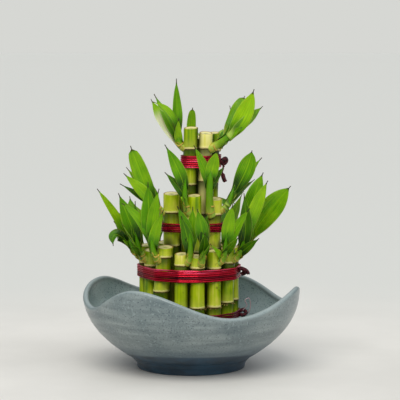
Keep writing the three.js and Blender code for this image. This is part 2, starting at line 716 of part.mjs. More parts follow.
// How far a blade stays from the stalks and from the leaves of other shoots, less what it needs.
function room(points, others, stalks) {
  let least = Infinity;
  points.forEach((point) => {
    others.forEach((other) => {
      least = Math.min(least, point.distanceTo(other) - LEAF_CLEARANCE);
    });
    stalks.forEach((stalk) => {
      least = Math.min(least, stalkDistance(stalk, point) - STALK_CLEARANCE);
    });
  });
  return least;
}

// Each leaf is turned about its foot, by the smallest step that brings it clear.
function clearSpine(leaf, stem, others, stalks) {
  const turns = [0, 6, -6, 12, -12, 18, -18, 25, -25, 33, -33, 42, -42];
  const worthTurning = 0.01;
  let best = null;
  for (const turn of turns) {
    const spine = leafSpine(leaf, stem, turn);
    const points = bladePoints(leaf, spine);
    const space = room(points, others, stalks);
    if (best === null || space > best.space + worthTurning) best = { spine, points, space };
    if (space >= 0) break;
  }
  return best;
}

// Assembly

const group = new THREE.Group();
group.name = 'lucky_bamboo';

function addMesh(name, geometry, colour, roughness, metalness) {
  const material = new THREE.MeshStandardMaterial({ color: colour, roughness, metalness });
  const mesh = new THREE.Mesh(geometry, material);
  mesh.name = name;
  group.add(mesh);
}

const stalksByName = new Map();
const tiers = { lower: LOWER_STALKS, middle: MIDDLE_STALKS, upper: UPPER_STALKS };
Object.entries(tiers).forEach(([tier, stalks]) => {
  stalks.forEach((stalk, k) => stalksByName.set(`stalk_${tier}_${k + 1}`, stalk));
});
const allStalks = [...stalksByName.values()];

addMesh('bowl', welded(bowlGeometry()), 0x70868c, 0.3, 0);

function waterSolid() {
  const steps = 2;
  const profile = [new THREE.Vector2(0, BOWL.floorHeight + SEAT)];
  for (let k = 0; k <= steps; k += 1) {
    const height = BOWL.floorHeight + SEAT + ((WATER_LEVEL - BOWL.floorHeight - SEAT) * k) / steps;
    profile.push(new THREE.Vector2(innerRadius(height - SEAT) - 2 * SEAT, height));
  }
  profile.push(new THREE.Vector2(0, WATER_LEVEL));
  const lathe = new THREE.LatheGeometry(profile, WATER_SIDES);
  lathe.rotateX(Math.PI / 2);
  return allStalks.reduce((body, stalk) => body.subtract(toSolid(stalkGeometry(stalk, SEAT))), toSolid(lathe));
}

addMesh('water', toGeometry(waterSolid()), 0x9fb4b0, 0.05, 0);

stalksByName.forEach((stalk, name) => addMesh(name, welded(stalkGeometry(stalk)), 0x93a63a, 0.45, 0));

TIES.forEach((tie) => {
  const stalks = tie.tiers.flatMap((tier) => tiers[tier]);
  const knot = knotGeometries(tie, stalks).map(toSolid);
  const band = knot.reduce((body, lobe) => body.add(lobe), toSolid(tieGeometry(tie, stalks)));
  addMesh(tie.name, toGeometry(mainBody(band)), 0xa8102c, 0.35, 0.6);
});

// A stem's outer half counts among the things that other shoots' leaves stay clear of, at its two
// edges as the front shows them.
const STEM_SAMPLES = 8;
const STEM_INSET = 1.9;

function stemPoints(stem, girth) {
  const inset = Math.max(0, girth - STEM_INSET);
  return stem.getPoints(STEM_SAMPLES).slice(STEM_SAMPLES / 2)
    .flatMap((point) => [point.clone().setX(point.x - inset), point.clone().setX(point.x + inset)]);
}

const leafPoints = new Map();
SHOOTS.forEach((shoot) => {
  const stalk = stalksByName.get(shoot.stalk);
  const stem = stemCurve(shoot, stalk);
  const girth = shoot.girth ?? STEM_RADIUS;
  const others = [...leafPoints.values()].flat();
  const own = stemPoints(stem, girth);
  let body = toSolid(stemGeometry(stem, girth));
  shoot.leaves.forEach((leaf) => {
    const placed = clearSpine(leaf, stem, others, allStalks);
    own.push(...placed.points);
    body = body.add(toSolid(leafGeometry(leaf, placed.spine)));
  });
  leafPoints.set(shoot.name, own);
  const cut = allStalks.reduce((solid, neighbour) => solid.subtract(toSolid(stalkGeometry(neighbour, SEAT))), body);
  addMesh(shoot.name, toGeometry(mainBody(cut)), 0x4f9421, 0.45, 0);
});

export default group;
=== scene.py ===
"""Lucky bamboo: three tiers of cut canes tied with red wire, in a wavy-rimmed stoneware bowl.

The classes hold sizes in millimetres and degrees, and every mesh is made in metres in the frame of
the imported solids: +X to the right of the front view, +Y to the back, +Z up. The finishes read
Object coordinates, which are in metres.
"""
import logging
import math
from dataclasses import dataclass
from enum import Enum
from typing import ClassVar, Iterable, Mapping, Optional, Sequence, Union

import bpy
import numpy as np
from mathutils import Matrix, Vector


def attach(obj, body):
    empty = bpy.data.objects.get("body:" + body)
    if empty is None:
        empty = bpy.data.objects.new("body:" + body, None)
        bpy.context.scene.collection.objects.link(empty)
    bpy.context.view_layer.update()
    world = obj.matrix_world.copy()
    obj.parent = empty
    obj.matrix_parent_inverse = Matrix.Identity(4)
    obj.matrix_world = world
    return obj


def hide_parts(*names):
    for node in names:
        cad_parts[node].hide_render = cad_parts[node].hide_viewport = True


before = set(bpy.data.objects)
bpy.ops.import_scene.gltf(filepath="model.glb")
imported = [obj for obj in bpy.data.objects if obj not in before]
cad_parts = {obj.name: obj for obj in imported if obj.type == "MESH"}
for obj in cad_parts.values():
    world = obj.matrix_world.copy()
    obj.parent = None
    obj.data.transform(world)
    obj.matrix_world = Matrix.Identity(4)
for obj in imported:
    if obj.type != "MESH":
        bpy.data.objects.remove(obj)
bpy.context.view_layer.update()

LOG = logging.getLogger("lucky_bamboo")
MM = 0.001

Material = bpy.types.Material
Mesh = bpy.types.Mesh
Colour = tuple[float, float, float, float]
Place = tuple[float, float, float]
Pair = tuple[float, float]
Socket = bpy.types.NodeSocket
Value = Union[Socket, float, Sequence[float]]


def srgb(red: float, green: float, blue: float) -> Colour:
    """Turn an eight-bit colour into a linear one.

    Args:
        red: Red from 0 to 255.
        green: Green from 0 to 255.
        blue: Blue from 0 to 255.

    Returns:
        The linear colour with full opacity.
    """
    def linear(level: float) -> float:
        """Return one channel in linear light."""
        part = level / 255
        return part / 12.92 if part <= 0.04045 else ((part + 0.055) / 1.055) ** 2.4

    return linear(red), linear(green), linear(blue), 1.0


def smooth(part: float) -> float:
    """Ease a part from 0 to 1, flat at both ends."""
    held = min(max(part, 0.0), 1.0)
    return held * held * (3 - 2 * held)


def unit(vector: np.ndarray) -> np.ndarray:
    """Return the vector at length one."""
    return vector / np.linalg.norm(vector)


class NodeKit:
    """Adds and links the nodes of one tree."""

    def __init__(self, tree: bpy.types.NodeTree) -> None:
        """Keep the tree that the nodes go into."""
        self.tree = tree

    def feed(self, made: bpy.types.Node, inputs: Mapping[Union[int, str], object]) -> None:
        """Link or set a node's inputs.

        Args:
            made: The node.
            inputs: What each input, by name or number, is linked or set to.
        """
        for key, fed in inputs.items():
            if isinstance(fed, Socket):
                self.tree.links.new(fed, made.inputs[key])
            else:
                made.inputs[key].default_value = fed

    def node(self, kind: str, inputs: Optional[Mapping[Union[int, str], object]] = None,
             **settings: object) -> bpy.types.Node:
        """Add a node, set it up and feed it.

        Args:
            kind: The node's type name.
            inputs: What each input, by name or number, is linked or set to.
            settings: The node's own options.

        Returns:
            The new node.
        """
        made = self.tree.nodes.new(kind)
        for option, choice in settings.items():
            setattr(made, option, choice)
        self.feed(made, inputs or {})
        return made

    def math(self, operation: str, first: Value, second: Value = 0.0) -> Socket:
        """Add a sum on one or two numbers."""
        return self.node("ShaderNodeMath", {0: first, 1: second}, operation=operation).outputs[0]

    def times(self, first: Value, second: Value) -> Socket:
        """Multiply two numbers."""
        return self.math("MULTIPLY", first, second)

    def plus(self, first: Value, second: Value) -> Socket:
        """Add two numbers."""
        return self.math("ADD", first, second)

    def minus(self, first: Value, second: Value) -> Socket:
        """Take the second number from the first."""
        return self.math("SUBTRACT", first, second)

    def over(self, first: Value, second: Value) -> Socket:
        """Divide the first number by the second."""
        return self.math("DIVIDE", first, second)

    def vector(self, operation: str, first: Value, second: Value = (0.0, 0.0, 0.0)) -> Socket:
        """Add a sum on vectors."""
        made = self.node("ShaderNodeVectorMath", {0: first, 1: second}, operation=operation)
        return made.outputs[0]

    def scaled(self, vector: Value, factor: Value) -> Socket:
        """Make a vector longer or shorter by a factor."""
        made = self.node("ShaderNodeVectorMath", {0: vector, "Scale": factor}, operation="SCALE")
        return made.outputs[0]

    def length(self, vector: Value) -> Socket:
        """Measure a vector's length."""
        return self.node("ShaderNodeVectorMath", {0: vector}, operation="LENGTH").outputs[1]

    def combined(self, x: Value, y: Value, z: Value) -> Socket:
        """Join three numbers into a vector."""
        return self.node("ShaderNodeCombineXYZ", {0: x, 1: y, 2: z}).outputs[0]

    def parts(self, vector: Value) -> Sequence[Socket]:
        """Split a vector into its three numbers."""
        return self.node("ShaderNodeSeparateXYZ", {0: vector}).outputs

    def drift(self, place: Value, shift: Value, scale: float) -> Socket:
        """Add a soft noise that each shift makes anew.

        Args:
            place: Where it is read.
            shift: What sets one noise apart from another.
            scale: Features per metre.

        Returns:
            The noise's socket, round 0.
        """
        made = self.node("ShaderNodeTexNoise", {"Vector": place, "W": shift, "Scale": scale,
                                                "Detail": 1.0}, noise_dimensions="4D")
        return self.minus(made.outputs[0], 0.5)

    def span(self, value: Socket, low: float, high: float, start: float = 0.0,
             end: float = 1.0) -> Socket:
        """Stretch a number's range onto another, clamped and eased.

        Args:
            value: The number.
            low: Where its range starts.
            high: Where its range ends.
            start: What the low end becomes.
            end: What the high end becomes.

        Returns:
            The stretched number's socket.
        """
        made = self.node("ShaderNodeMapRange", {0: value, 1: low, 2: high, 3: start, 4: end},
                         interpolation_type="SMOOTHSTEP")
        return made.outputs[0]


class FinishKit(NodeKit):
    """Builds one material, with its patterns placed in Object coordinates."""

    def __init__(self, name: str) -> None:
        """Start an empty material.

        Args:
            name: The material's name.
        """
        self.made = bpy.data.materials.new(name)
        self.made.use_nodes = True
        self.made.node_tree.nodes.clear()
        super().__init__(self.made.node_tree)
        self.place = self.node("ShaderNodeTexCoord").outputs["Object"]

    def noise(self, scale: float, detail: float = 3.0, stretch: Place = (1.0, 1.0, 1.0)) -> Socket:
        """Add a noise pattern.

        Args:
            scale: Features per metre.
            detail: How many finer layers it has.
            stretch: How much denser it is along each axis.

        Returns:
            The pattern's socket, from 0 to 1.
        """
        placed = self.node("ShaderNodeMapping", {"Vector": self.place, "Scale": stretch}).outputs[0]
        made = self.node("ShaderNodeTexNoise", {"Vector": placed, "Scale": scale, "Detail": detail})
        return made.outputs[0]

    def attribute(self, name: str) -> Socket:
        """Read one of the mesh's own numbers."""
        return self.node("ShaderNodeAttribute", attribute_name=name).outputs["Fac"]

    def mix(self, part: Value, first: Value, second: Value) -> Socket:
        """Mix two colours.

        Args:
            part: How much of the second one shows.
            first: The first colour.
            second: The second colour.

        Returns:
            The mixed colour's socket.
        """
        made = self.node("ShaderNodeMix", data_type="RGBA")
        self.feed(made, {0: part, 6: first, 7: second})
        return made.outputs[2]

    def ramp(self, value: Socket, *stops: tuple[float, Colour]) -> Socket:
        """Look a number up in a row of colours.

        Args:
            value: The number from 0 to 1.
            stops: Each colour's place and the colour.

        Returns:
            The colour's socket.
        """
        made = self.node("ShaderNodeValToRGB", {0: value})
        elements = made.color_ramp.elements
        while len(elements) < len(stops):
            elements.new(0.5)
        for element, (position, colour) in zip(elements, stops):
            element.position = position
            element.color = colour
        return made.outputs[0]

    def bumped(self, height: Socket, distance: float, strength: float = 1.0) -> Socket:
        """Add a relief."""
        return self.node("ShaderNodeBump", {"Height": height, "Distance": distance,
                                            "Strength": strength}).outputs[0]

    def finished(self, **inputs: Value) -> Material:
        """End the material in one surface shader.

        Args:
            inputs: The shader's inputs, with underscores for the spaces in their names.

        Returns:
            The finished material.
        """
        fed = {label.replace("_", " "): value for label, value in inputs.items()}
        shader = self.node("ShaderNodeBsdfPrincipled", fed)
        self.node("ShaderNodeOutputMaterial", {"Surface": shader.outputs[0]})
        return self.made


# Finishes


@dataclass(frozen=True)
class GlazeFinish:
    """Satin blue-grey glaze: mottled, finely speckled, paler on the rim and dark on the foot."""

    body: Colour = srgb(102, 119, 122)
    pale: Colour = srgb(146, 158, 157)
    deep: Colour = srgb(76, 92, 98)
    rim: Colour = srgb(142, 156, 157)
    foot: Colour = srgb(12, 43, 61)
    foot_pale: Colour = srgb(30, 68, 91)
    speck: Colour = srgb(68, 82, 90)
    # Painted light: the inside is painted paler than the outside, to lift the shade that falls
    # inside the bowl.
    inside: Colour = srgb(140, 162, 166)
    inside_pale: Colour = srgb(166, 184, 186)

    def material(self) -> Material:
        """Build the glaze.

        Returns:
            The material.
        """
        kit = FinishKit("glaze")
        mottle = kit.span(kit.noise(34, 5), 0.3, 0.7)
        streaks = kit.span(kit.noise(20, 6, (0.7, 0.7, 9)), 0.3, 0.72)
        grain = kit.noise(900, 2)
        colour = kit.mix(mottle, self.body, self.pale)
        colour = kit.mix(kit.times(streaks, 0.7), colour, self.deep)
        # Painted light: the inside wall and floor take the paler inside colours, which lift their
        # shade.
        inner = kit.mix(mottle, self.inside, self.inside_pale)
        colour = kit.mix(kit.attribute("inside"), colour, inner)
        specks = kit.span(grain, 0.57, 0.68, 0, 0.85)
        colour = kit.mix(specks, colour, self.speck)
        bright = kit.span(kit.noise(620, 2), 0.58, 0.7, 0, 0.7)
        colour = kit.mix(bright, colour, self.rim)
        colour = kit.mix(kit.times(kit.attribute("rim"), 0.85), colour, self.rim)
        rise = kit.parts(kit.place)["Z"]
        # Painted shade: the wall darkens towards the foot's colour from 3 cm down, under the belly.
        colour = kit.mix(kit.span(rise, 0.008, 0.03, 0.65, 0), colour, self.foot_pale)
        slate = kit.mix(kit.span(kit.noise(60, 5, (1, 1, 2)), 0.35, 0.7), self.foot, self.foot_pale)
        colour = kit.mix(kit.attribute("foot"), colour, slate)
        rough = kit.span(mottle, 0, 1, 0.3, 0.42)
        relief = kit.plus(kit.times(grain, 0.35), kit.noise(140, 3, (0.4, 0.4, 3)))
        return kit.finished(Base_Color=colour, Roughness=rough, Coat_Weight=0.25,
                            Coat_Roughness=0.16, Normal=kit.bumped(relief, 0.00018, 0.6))


@dataclass(frozen=True)
class CaneFinish:
    """Waxy green skin with fine upright fibres, a pale ringed scar at each node and a cream cut."""

    yellow: Colour = srgb(172, 192, 12)
    green: Colour = srgb(108, 146, 4)
    dark: Colour = srgb(34, 58, 2)
    pale: Colour = srgb(214, 210, 84)
    cream: Colour = srgb(234, 226, 142)
    scar: Colour = srgb(222, 208, 136)
    line: Colour = srgb(66, 40, 12)
    # Painted shade: the near-black green painted where canes face each other and deep inside the
    # bundle.
    crevice: Colour = srgb(20, 34, 2)
    pith: Colour = srgb(222, 214, 150)
    heart: Colour = srgb(172, 176, 92)
    rind: Colour = srgb(142, 104, 44)

    def material(self) -> Material:
        """Build the cane's skin, nodes and cut.

        Returns:
            The material.
        """
        kit = FinishKit("cane")
        tint = kit.attribute("tint")
        gap = kit.attribute("node_gap")
        fibres = kit.noise(420, 4, (1, 1, 0.04))
        bands = kit.noise(75, 3, (1, 1, 0.6))
        shade = kit.plus(kit.times(bands, 0.85), kit.times(fibres, 0.85))
        shade = kit.plus(shade, kit.minus(tint, 0.83))
        skin = kit.ramp(shade, (0.1, self.dark), (0.42, self.green), (0.68, self.yellow),
                        (0.88, self.pale), (1.0, self.cream))
        # Darker green under each node: partly the older internode's own green, partly painted shade
        # under the node and the leaves.
        below = kit.times(kit.span(gap, -13, -1.2), kit.span(gap, -0.9, -0.2, 1, 0))
        skin = kit.mix(kit.times(below, 0.88), skin, self.dark)
        above = kit.times(kit.span(gap, 0.6, 1.4), kit.span(gap, 2, 9, 1, 0))
        skin = kit.mix(kit.times(above, 0.35), skin, self.pale)
        patch = kit.noise(500, 4)
        ragged = kit.plus(gap, kit.times(kit.minus(patch, 0.5), 1.3))
        ring = kit.times(kit.span(ragged, -0.9, -0.5), kit.span(ragged, 0.3, 1.1, 1, 0))
        skin = kit.mix(kit.times(ring, 0.85), skin, self.scar)
        line = kit.times(kit.span(ragged, -1.7, -1.2), kit.span(ragged, -0.9, -0.5, 1, 0))
        skin = kit.mix(kit.times(line, kit.span(patch, 0.3, 0.5, 0.4, 1.0)), skin, self.line)
        blemish = kit.span(kit.noise(190, 5), 0.66, 0.74, 0, 0.55)
        skin = kit.mix(blemish, skin, self.line)
        # Painted shade between the canes and inside the bundle, read from the stored painted shade.
        skin = kit.mix(kit.times(kit.attribute("close"), 0.92), skin, self.crevice)
        cut = kit.attribute("cut")
        face = kit.ramp(cut, (0.02, self.rind), (0.14, self.rind), (0.22, self.pith),
                        (0.6, self.pith), (0.9, self.heart))
        face = kit.mix(kit.span(kit.noise(1300, 2), 0.55, 0.7, 0, 0.5), face, self.heart)
        skin = kit.mix(kit.span(cut, 0.005, 0.02), skin, face)
        rough = kit.plus(0.3, kit.times(ring, 0.25))
        relief = kit.plus(kit.times(fibres, 0.5), kit.times(patch, ring))
        return kit.finished(Base_Color=skin, Roughness=rough, Specular_IOR_Level=0.22,
                            Normal=kit.bumped(relief, 0.00016, 0.7))


@dataclass(frozen=True)
class LeafFinish:
    """Glossy green blade with parallel veins: pale at its sheath, brown at the very tip.

    A place along the blade or the stem runs from 0 at its foot to 1 at its tip, and one across the
    blade from -1 to 1.
    """

    sheath: Colour = srgb(178, 204, 84)
    cream: Colour = srgb(226, 228, 186)
    light: Colour = srgb(150, 194, 16)
    mid: Colour = srgb(76, 136, 3)
    deep: Colour = srgb(10, 54, 8)
    tip: Colour = srgb(40, 38, 18)
    under: Colour = srgb(116, 158, 44)
    stem: Colour = srgb(122, 156, 24)
    scale: Colour = srgb(202, 172, 74)

    def material(self) -> Material:
        """Build the leaf's green, its veins and its stem's skin.

        Returns:
            The material.
        """
        kit = FinishKit("leaf")
        along = kit.attribute("along")
        across = kit.attribute("across")
        tone = kit.attribute("tone")
        kind = kit.attribute("kind")
        cloud = kit.noise(90, 4)
        lay = kit.combined(kit.times(across, 9.0), kit.times(along, 1.6), kit.times(tone, 40.0))
        streak = kit.node("ShaderNodeTexNoise", {"Vector": lay, "Scale": 1.6, "Detail": 4.0})
        green = kit.plus(kit.times(kit.span(streak.outputs[0], 0.2, 0.8), 0.28), tone)
        heart = kit.times(kit.span(along, 0.15, 0.6, -0.5, 0.1), kit.attribute("heart"))
        green = kit.plus(green, heart)
        green = kit.plus(green, kit.times(kit.minus(cloud, 0.5), 0.5))
        blade = kit.ramp(green, (0.05, self.deep), (0.5, self.mid), (1.0, self.light))
        veins = kit.math("SINE", kit.times(across, 34))
        veins = kit.times(kit.span(veins, -0.2, 1), kit.span(along, 0.02, 0.3, 0.2, 1))
        blade = kit.mix(kit.times(veins, 0.14), blade, self.light)
        # The midrib is painted paler: partly its own paler green, partly painted highlight.
        rib = kit.span(kit.math("ABSOLUTE", across), 0.02, 0.09, 0.4, 0)
        blade = kit.mix(rib, blade, self.light)
        pale = kit.attribute("pale")
        reach = kit.over(along, pale)
        blade = kit.mix(kit.span(reach, 0.15, 1.0, 0.9, 0), blade, self.sheath)
        bleached = kit.times(kit.span(pale, 0.4, 0.6), kit.span(reach, 0.75, 1.05, 1, 0))
        blade = kit.mix(bleached, blade, self.cream)
        blade = kit.mix(kit.times(kit.attribute("under"), 0.3), blade, self.under)
        ragged = kit.plus(along, kit.times(kit.minus(cloud, 0.5), 0.03))
        blade = kit.mix(kit.span(ragged, 0.915, 0.955), blade, self.tip)
        # The margin is painted paler: partly its own paler edge, partly painted highlight.
        edge = kit.times(kit.span(kit.math("ABSOLUTE", across), 0.9, 1.0), 0.4)
        blade = kit.mix(edge, blade, self.sheath)
        stem = kit.mix(kit.span(along, 0.35, 0.65), self.sheath, self.stem)
        stem = kit.mix(kit.span(along, 0.6, 0.95, 0, 0.8), stem, self.mid)
        fibre = kit.span(kit.noise(420, 3, (1, 1, 0.06)), 0.42, 0.62, 0, 0.3)
        stem = kit.mix(fibre, stem, self.mid)
        dry = kit.span(kit.noise(260, 4, (1, 1, 0.5)), 0.42, 0.6)
        stem = kit.mix(kit.times(dry, kit.span(along, 0.2, 0.6, 1, 0)), stem, self.scale)
        stem = kit.mix(kit.span(along, 1.0, 1.6), stem, self.mid)
        stem = kit.mix(kit.times(kit.noise(300, 3, (1, 1, 0.3)), 0.4), stem, self.mid)
        skin = kit.mix(kit.span(kind, 0.4, 0.6), blade, stem)
        scale = kit.mix(kit.noise(700, 3, (1, 1, 0.2)), self.scale, self.tip)
        scale = kit.mix(0.65, scale, self.scale)
        skin = kit.mix(kit.span(kind, 1.4, 1.6), skin, scale)
        rough = kit.span(kit.attribute("under"), 0, 1, 0.3, 0.5)
        relief = kit.plus(veins, kit.times(kit.noise(500, 3), 0.4))
        return kit.finished(Base_Color=skin, Roughness=rough, Subsurface_Weight=0.1,
                            Subsurface_Scale=0.002, Specular_IOR_Level=0.18,
                            Normal=kit.bumped(relief, 0.00012, 0.6))


@dataclass(frozen=True)
class WireFinish:
    """Crimson foil-bright wire: every strand a little darker or pinker than the next, partly the
    foil's own unevenness and partly painted glints and painted shade.
    """

    name: str = "wire"
    body: Colour = srgb(182, 6, 38)
    dark: Colour = srgb(66, 2, 14)
    # Painted glint: the pink that the brightest strands and streaks are painted.
    bright: Colour = srgb(246, 92, 132)
    roughness: float = 0.27
    metallic: float = 0.75

    def material(self) -> Material:
        """Build the wire's coat.

        Returns:
            The material.
        """
        kit = FinishKit(self.name)
        strand = kit.attribute("strand")
        # Streaks along the strands that paint glints and shade onto the wire.
        painted_light_streaks = kit.noise(420, 3, (0.14, 0.14, 1))
        shade = kit.plus(kit.times(strand, 0.55), kit.times(painted_light_streaks, 0.6))
        colour = kit.ramp(shade, (0.25, self.dark), (0.5, self.body), (0.76, self.body),
                          (0.92, self.bright))
        relief = kit.noise(1500, 2, (0.12, 0.12, 1))
        # Painted shade: each tie is painted darker by its own amount, its dimmer strands most.
        painted_tie_shade = kit.times(kit.attribute("painted_tie_shade"), kit.span(strand, 0.35, 0.6, 1.4, 0.4))
        colour = kit.mix(painted_tie_shade, colour, self.dark)
        return kit.finished(Base_Color=colour, Roughness=self.roughness, Metallic=self.metallic,
                            Normal=kit.bumped(relief, 0.0001, 0.5))


@dataclass(frozen=True)
class FibreFinish:
    """Dry brown root fibres, mottled with paler ones."""

    body: Colour = srgb(126, 86, 40)
    pale: Colour = srgb(196, 160, 96)

    def material(self) -> Material:
        """Build the fibres' skin.

        Returns:
            The material.
        """
        kit = FinishKit("root_fibre")
        colour = kit.mix(kit.noise(700, 3), self.body, self.pale)
        return kit.finished(Base_Color=colour, Roughness=0.7)


@dataclass(frozen=True)
class WaterFinish:
    """Still shallow water, faintly green and clear enough to show the glaze under it."""

    shallow: Colour = srgb(120, 140, 138)
    deep: Colour = srgb(88, 112, 112)

    def material(self) -> Material:
        """Build the water's surface.

        Returns:
            The material.
        """
        kit = FinishKit("water")
        colour = kit.mix(kit.noise(30, 3), self.shallow, self.deep)
        ripple = kit.bumped(kit.noise(60, 2), 0.0002, 0.4)
        return kit.finished(Base_Color=colour, Roughness=0.05, Alpha=0.5, IOR=1.33, Normal=ripple)


@dataclass(frozen=True)
class FloorFinish:
    """Plain pale floor with a soft satin gloss, a little greyer and quite even far away."""

    pale: Colour = srgb(226, 224, 219)
    shade: Colour = srgb(217, 215, 210)
    far: Colour = srgb(213, 214, 210)

    def material(self) -> Material:
        """Build the floor's surface.

        Returns:
            The material.
        """
        kit = FinishKit("floor")
        colour = kit.mix(kit.span(kit.noise(9, 4), 0.3, 0.7), self.pale, self.shade)
        colour = kit.mix(kit.span(kit.length(kit.place), 0.17, 0.5), colour, self.far)
        return kit.finished(Base_Color=colour, Roughness=0.45)


# Making pieces


def present(name: str, mesh: Mesh,
            replaced: Iterable[str] = ()) -> bpy.types.Object:
    """Put a finished mesh in the scene as a piece of the object, and report it.

    Args:
        name: The piece's name.
        mesh: Its mesh, already in place.
        replaced: The solids that it stands for.

    Returns:
        The piece.
    """
    mesh.name = name
    piece = bpy.data.objects.new(name, mesh)
    bpy.context.scene.collection.objects.link(piece)
    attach(piece, "root")
    replaced = tuple(replaced)
    if replaced:
        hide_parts(*replaced)
    LOG.info("%s: %d faces, for %s", name, len(mesh.polygons), ", ".join(replaced) or "no solid")
    return piece


def store(mesh: Mesh, fields: Mapping[str, Sequence[float]]) -> None:
    """Store numbers on a mesh for the finishes to read.

    Args:
        mesh: The mesh.
        fields: A number for each vertex, under its name.
    """
    for label, numbers in fields.items():
        mesh.attributes.new(label, "FLOAT", "POINT").data.foreach_set("value", numbers)


def line_mesh(name: str, places: Sequence[np.ndarray], closed: bool = False,
              **fields: Sequence[float]) -> Mesh:
    """Make a line of vertices for a recipe to grow on.

    Args:
        name: The mesh's name.
        places: The vertices in millimetres.
        closed: Whether the last vertex joins the first.
        fields: A number for each vertex, under the name that finishes read it by.

    Returns:
        The line.
    """
    mesh = bpy.data.meshes.new(name)
    count = len(places)
    edges = [(k, k + 1) for k in range(count - 1)] + ([(count - 1, 0)] if closed else [])
    mesh.from_pydata([tuple(float(c) * MM for c in place) for place in places], edges, [])
    store(mesh, fields)
    return mesh


def skin_mesh(name: str, places: np.ndarray, faces: Sequence[tuple[int, ...]],
              fields: Mapping[str, Sequence[float]], finish: Material) -> Mesh:
    """Make a closed mesh, smooth and dressed.

    Args:
        name: The mesh's name.
        places: The vertices in millimetres.
        faces: The vertices of each face, turning left as seen from outside.
        fields: A number for each vertex, under the name that finishes read it by.
        finish: The material.

    Returns:
        The mesh in metres.
    """
    mesh = bpy.data.meshes.new(name)
    mesh.from_pydata((places * MM).tolist(), [], faces)
    store(mesh, fields)
    mesh.shade_smooth()
    mesh.materials.append(finish)
    return mesh


class SkinBuilder:
    """Gathers closed skins of rings into one mesh, with a number for each vertex and field."""

    def __init__(self, *fields: str) -> None:
        """Start empty.

        Args:
            fields: The names of the vertex numbers.
        """
        self.places: list[np.ndarray] = []
        self.faces: list[tuple[int, ...]] = []
        self.fields: dict[str, list[float]] = {label: [] for label in fields}

    def skin(self, rings: Sequence[np.ndarray], **values: Sequence[Sequence[float]]) -> None:
        """Add a tube over rings of points, closed by a flat face at each end.

        Args:
            rings: Rings of as many points each, turning left as seen from the last one.
            values: For each field, the numbers of every ring's points.
        """
        first = sum(len(ring) for ring in self.places)
        count = len(rings[0])
        self.places.extend(rings)
        for label, numbers in values.items():
            self.fields[label].extend(float(n) for row in numbers for n in row)
        for r in range(len(rings) - 1):
            for k in range(count):
                a, b = first + r * count + k, first + r * count + (k + 1) % count
                self.faces.append((a, b, b + count, a + count))
        last = first + (len(rings) - 1) * count
        self.faces.append(tuple(first + k for k in reversed(range(count))))
        self.faces.append(tuple(last + k for k in range(count)))

    def mesh(self, name: str, finish: Material) -> Mesh:
        """Make one smooth, dressed mesh of all the skins."""
        return skin_mesh(name, np.vstack(self.places), self.faces, self.fields, finish)


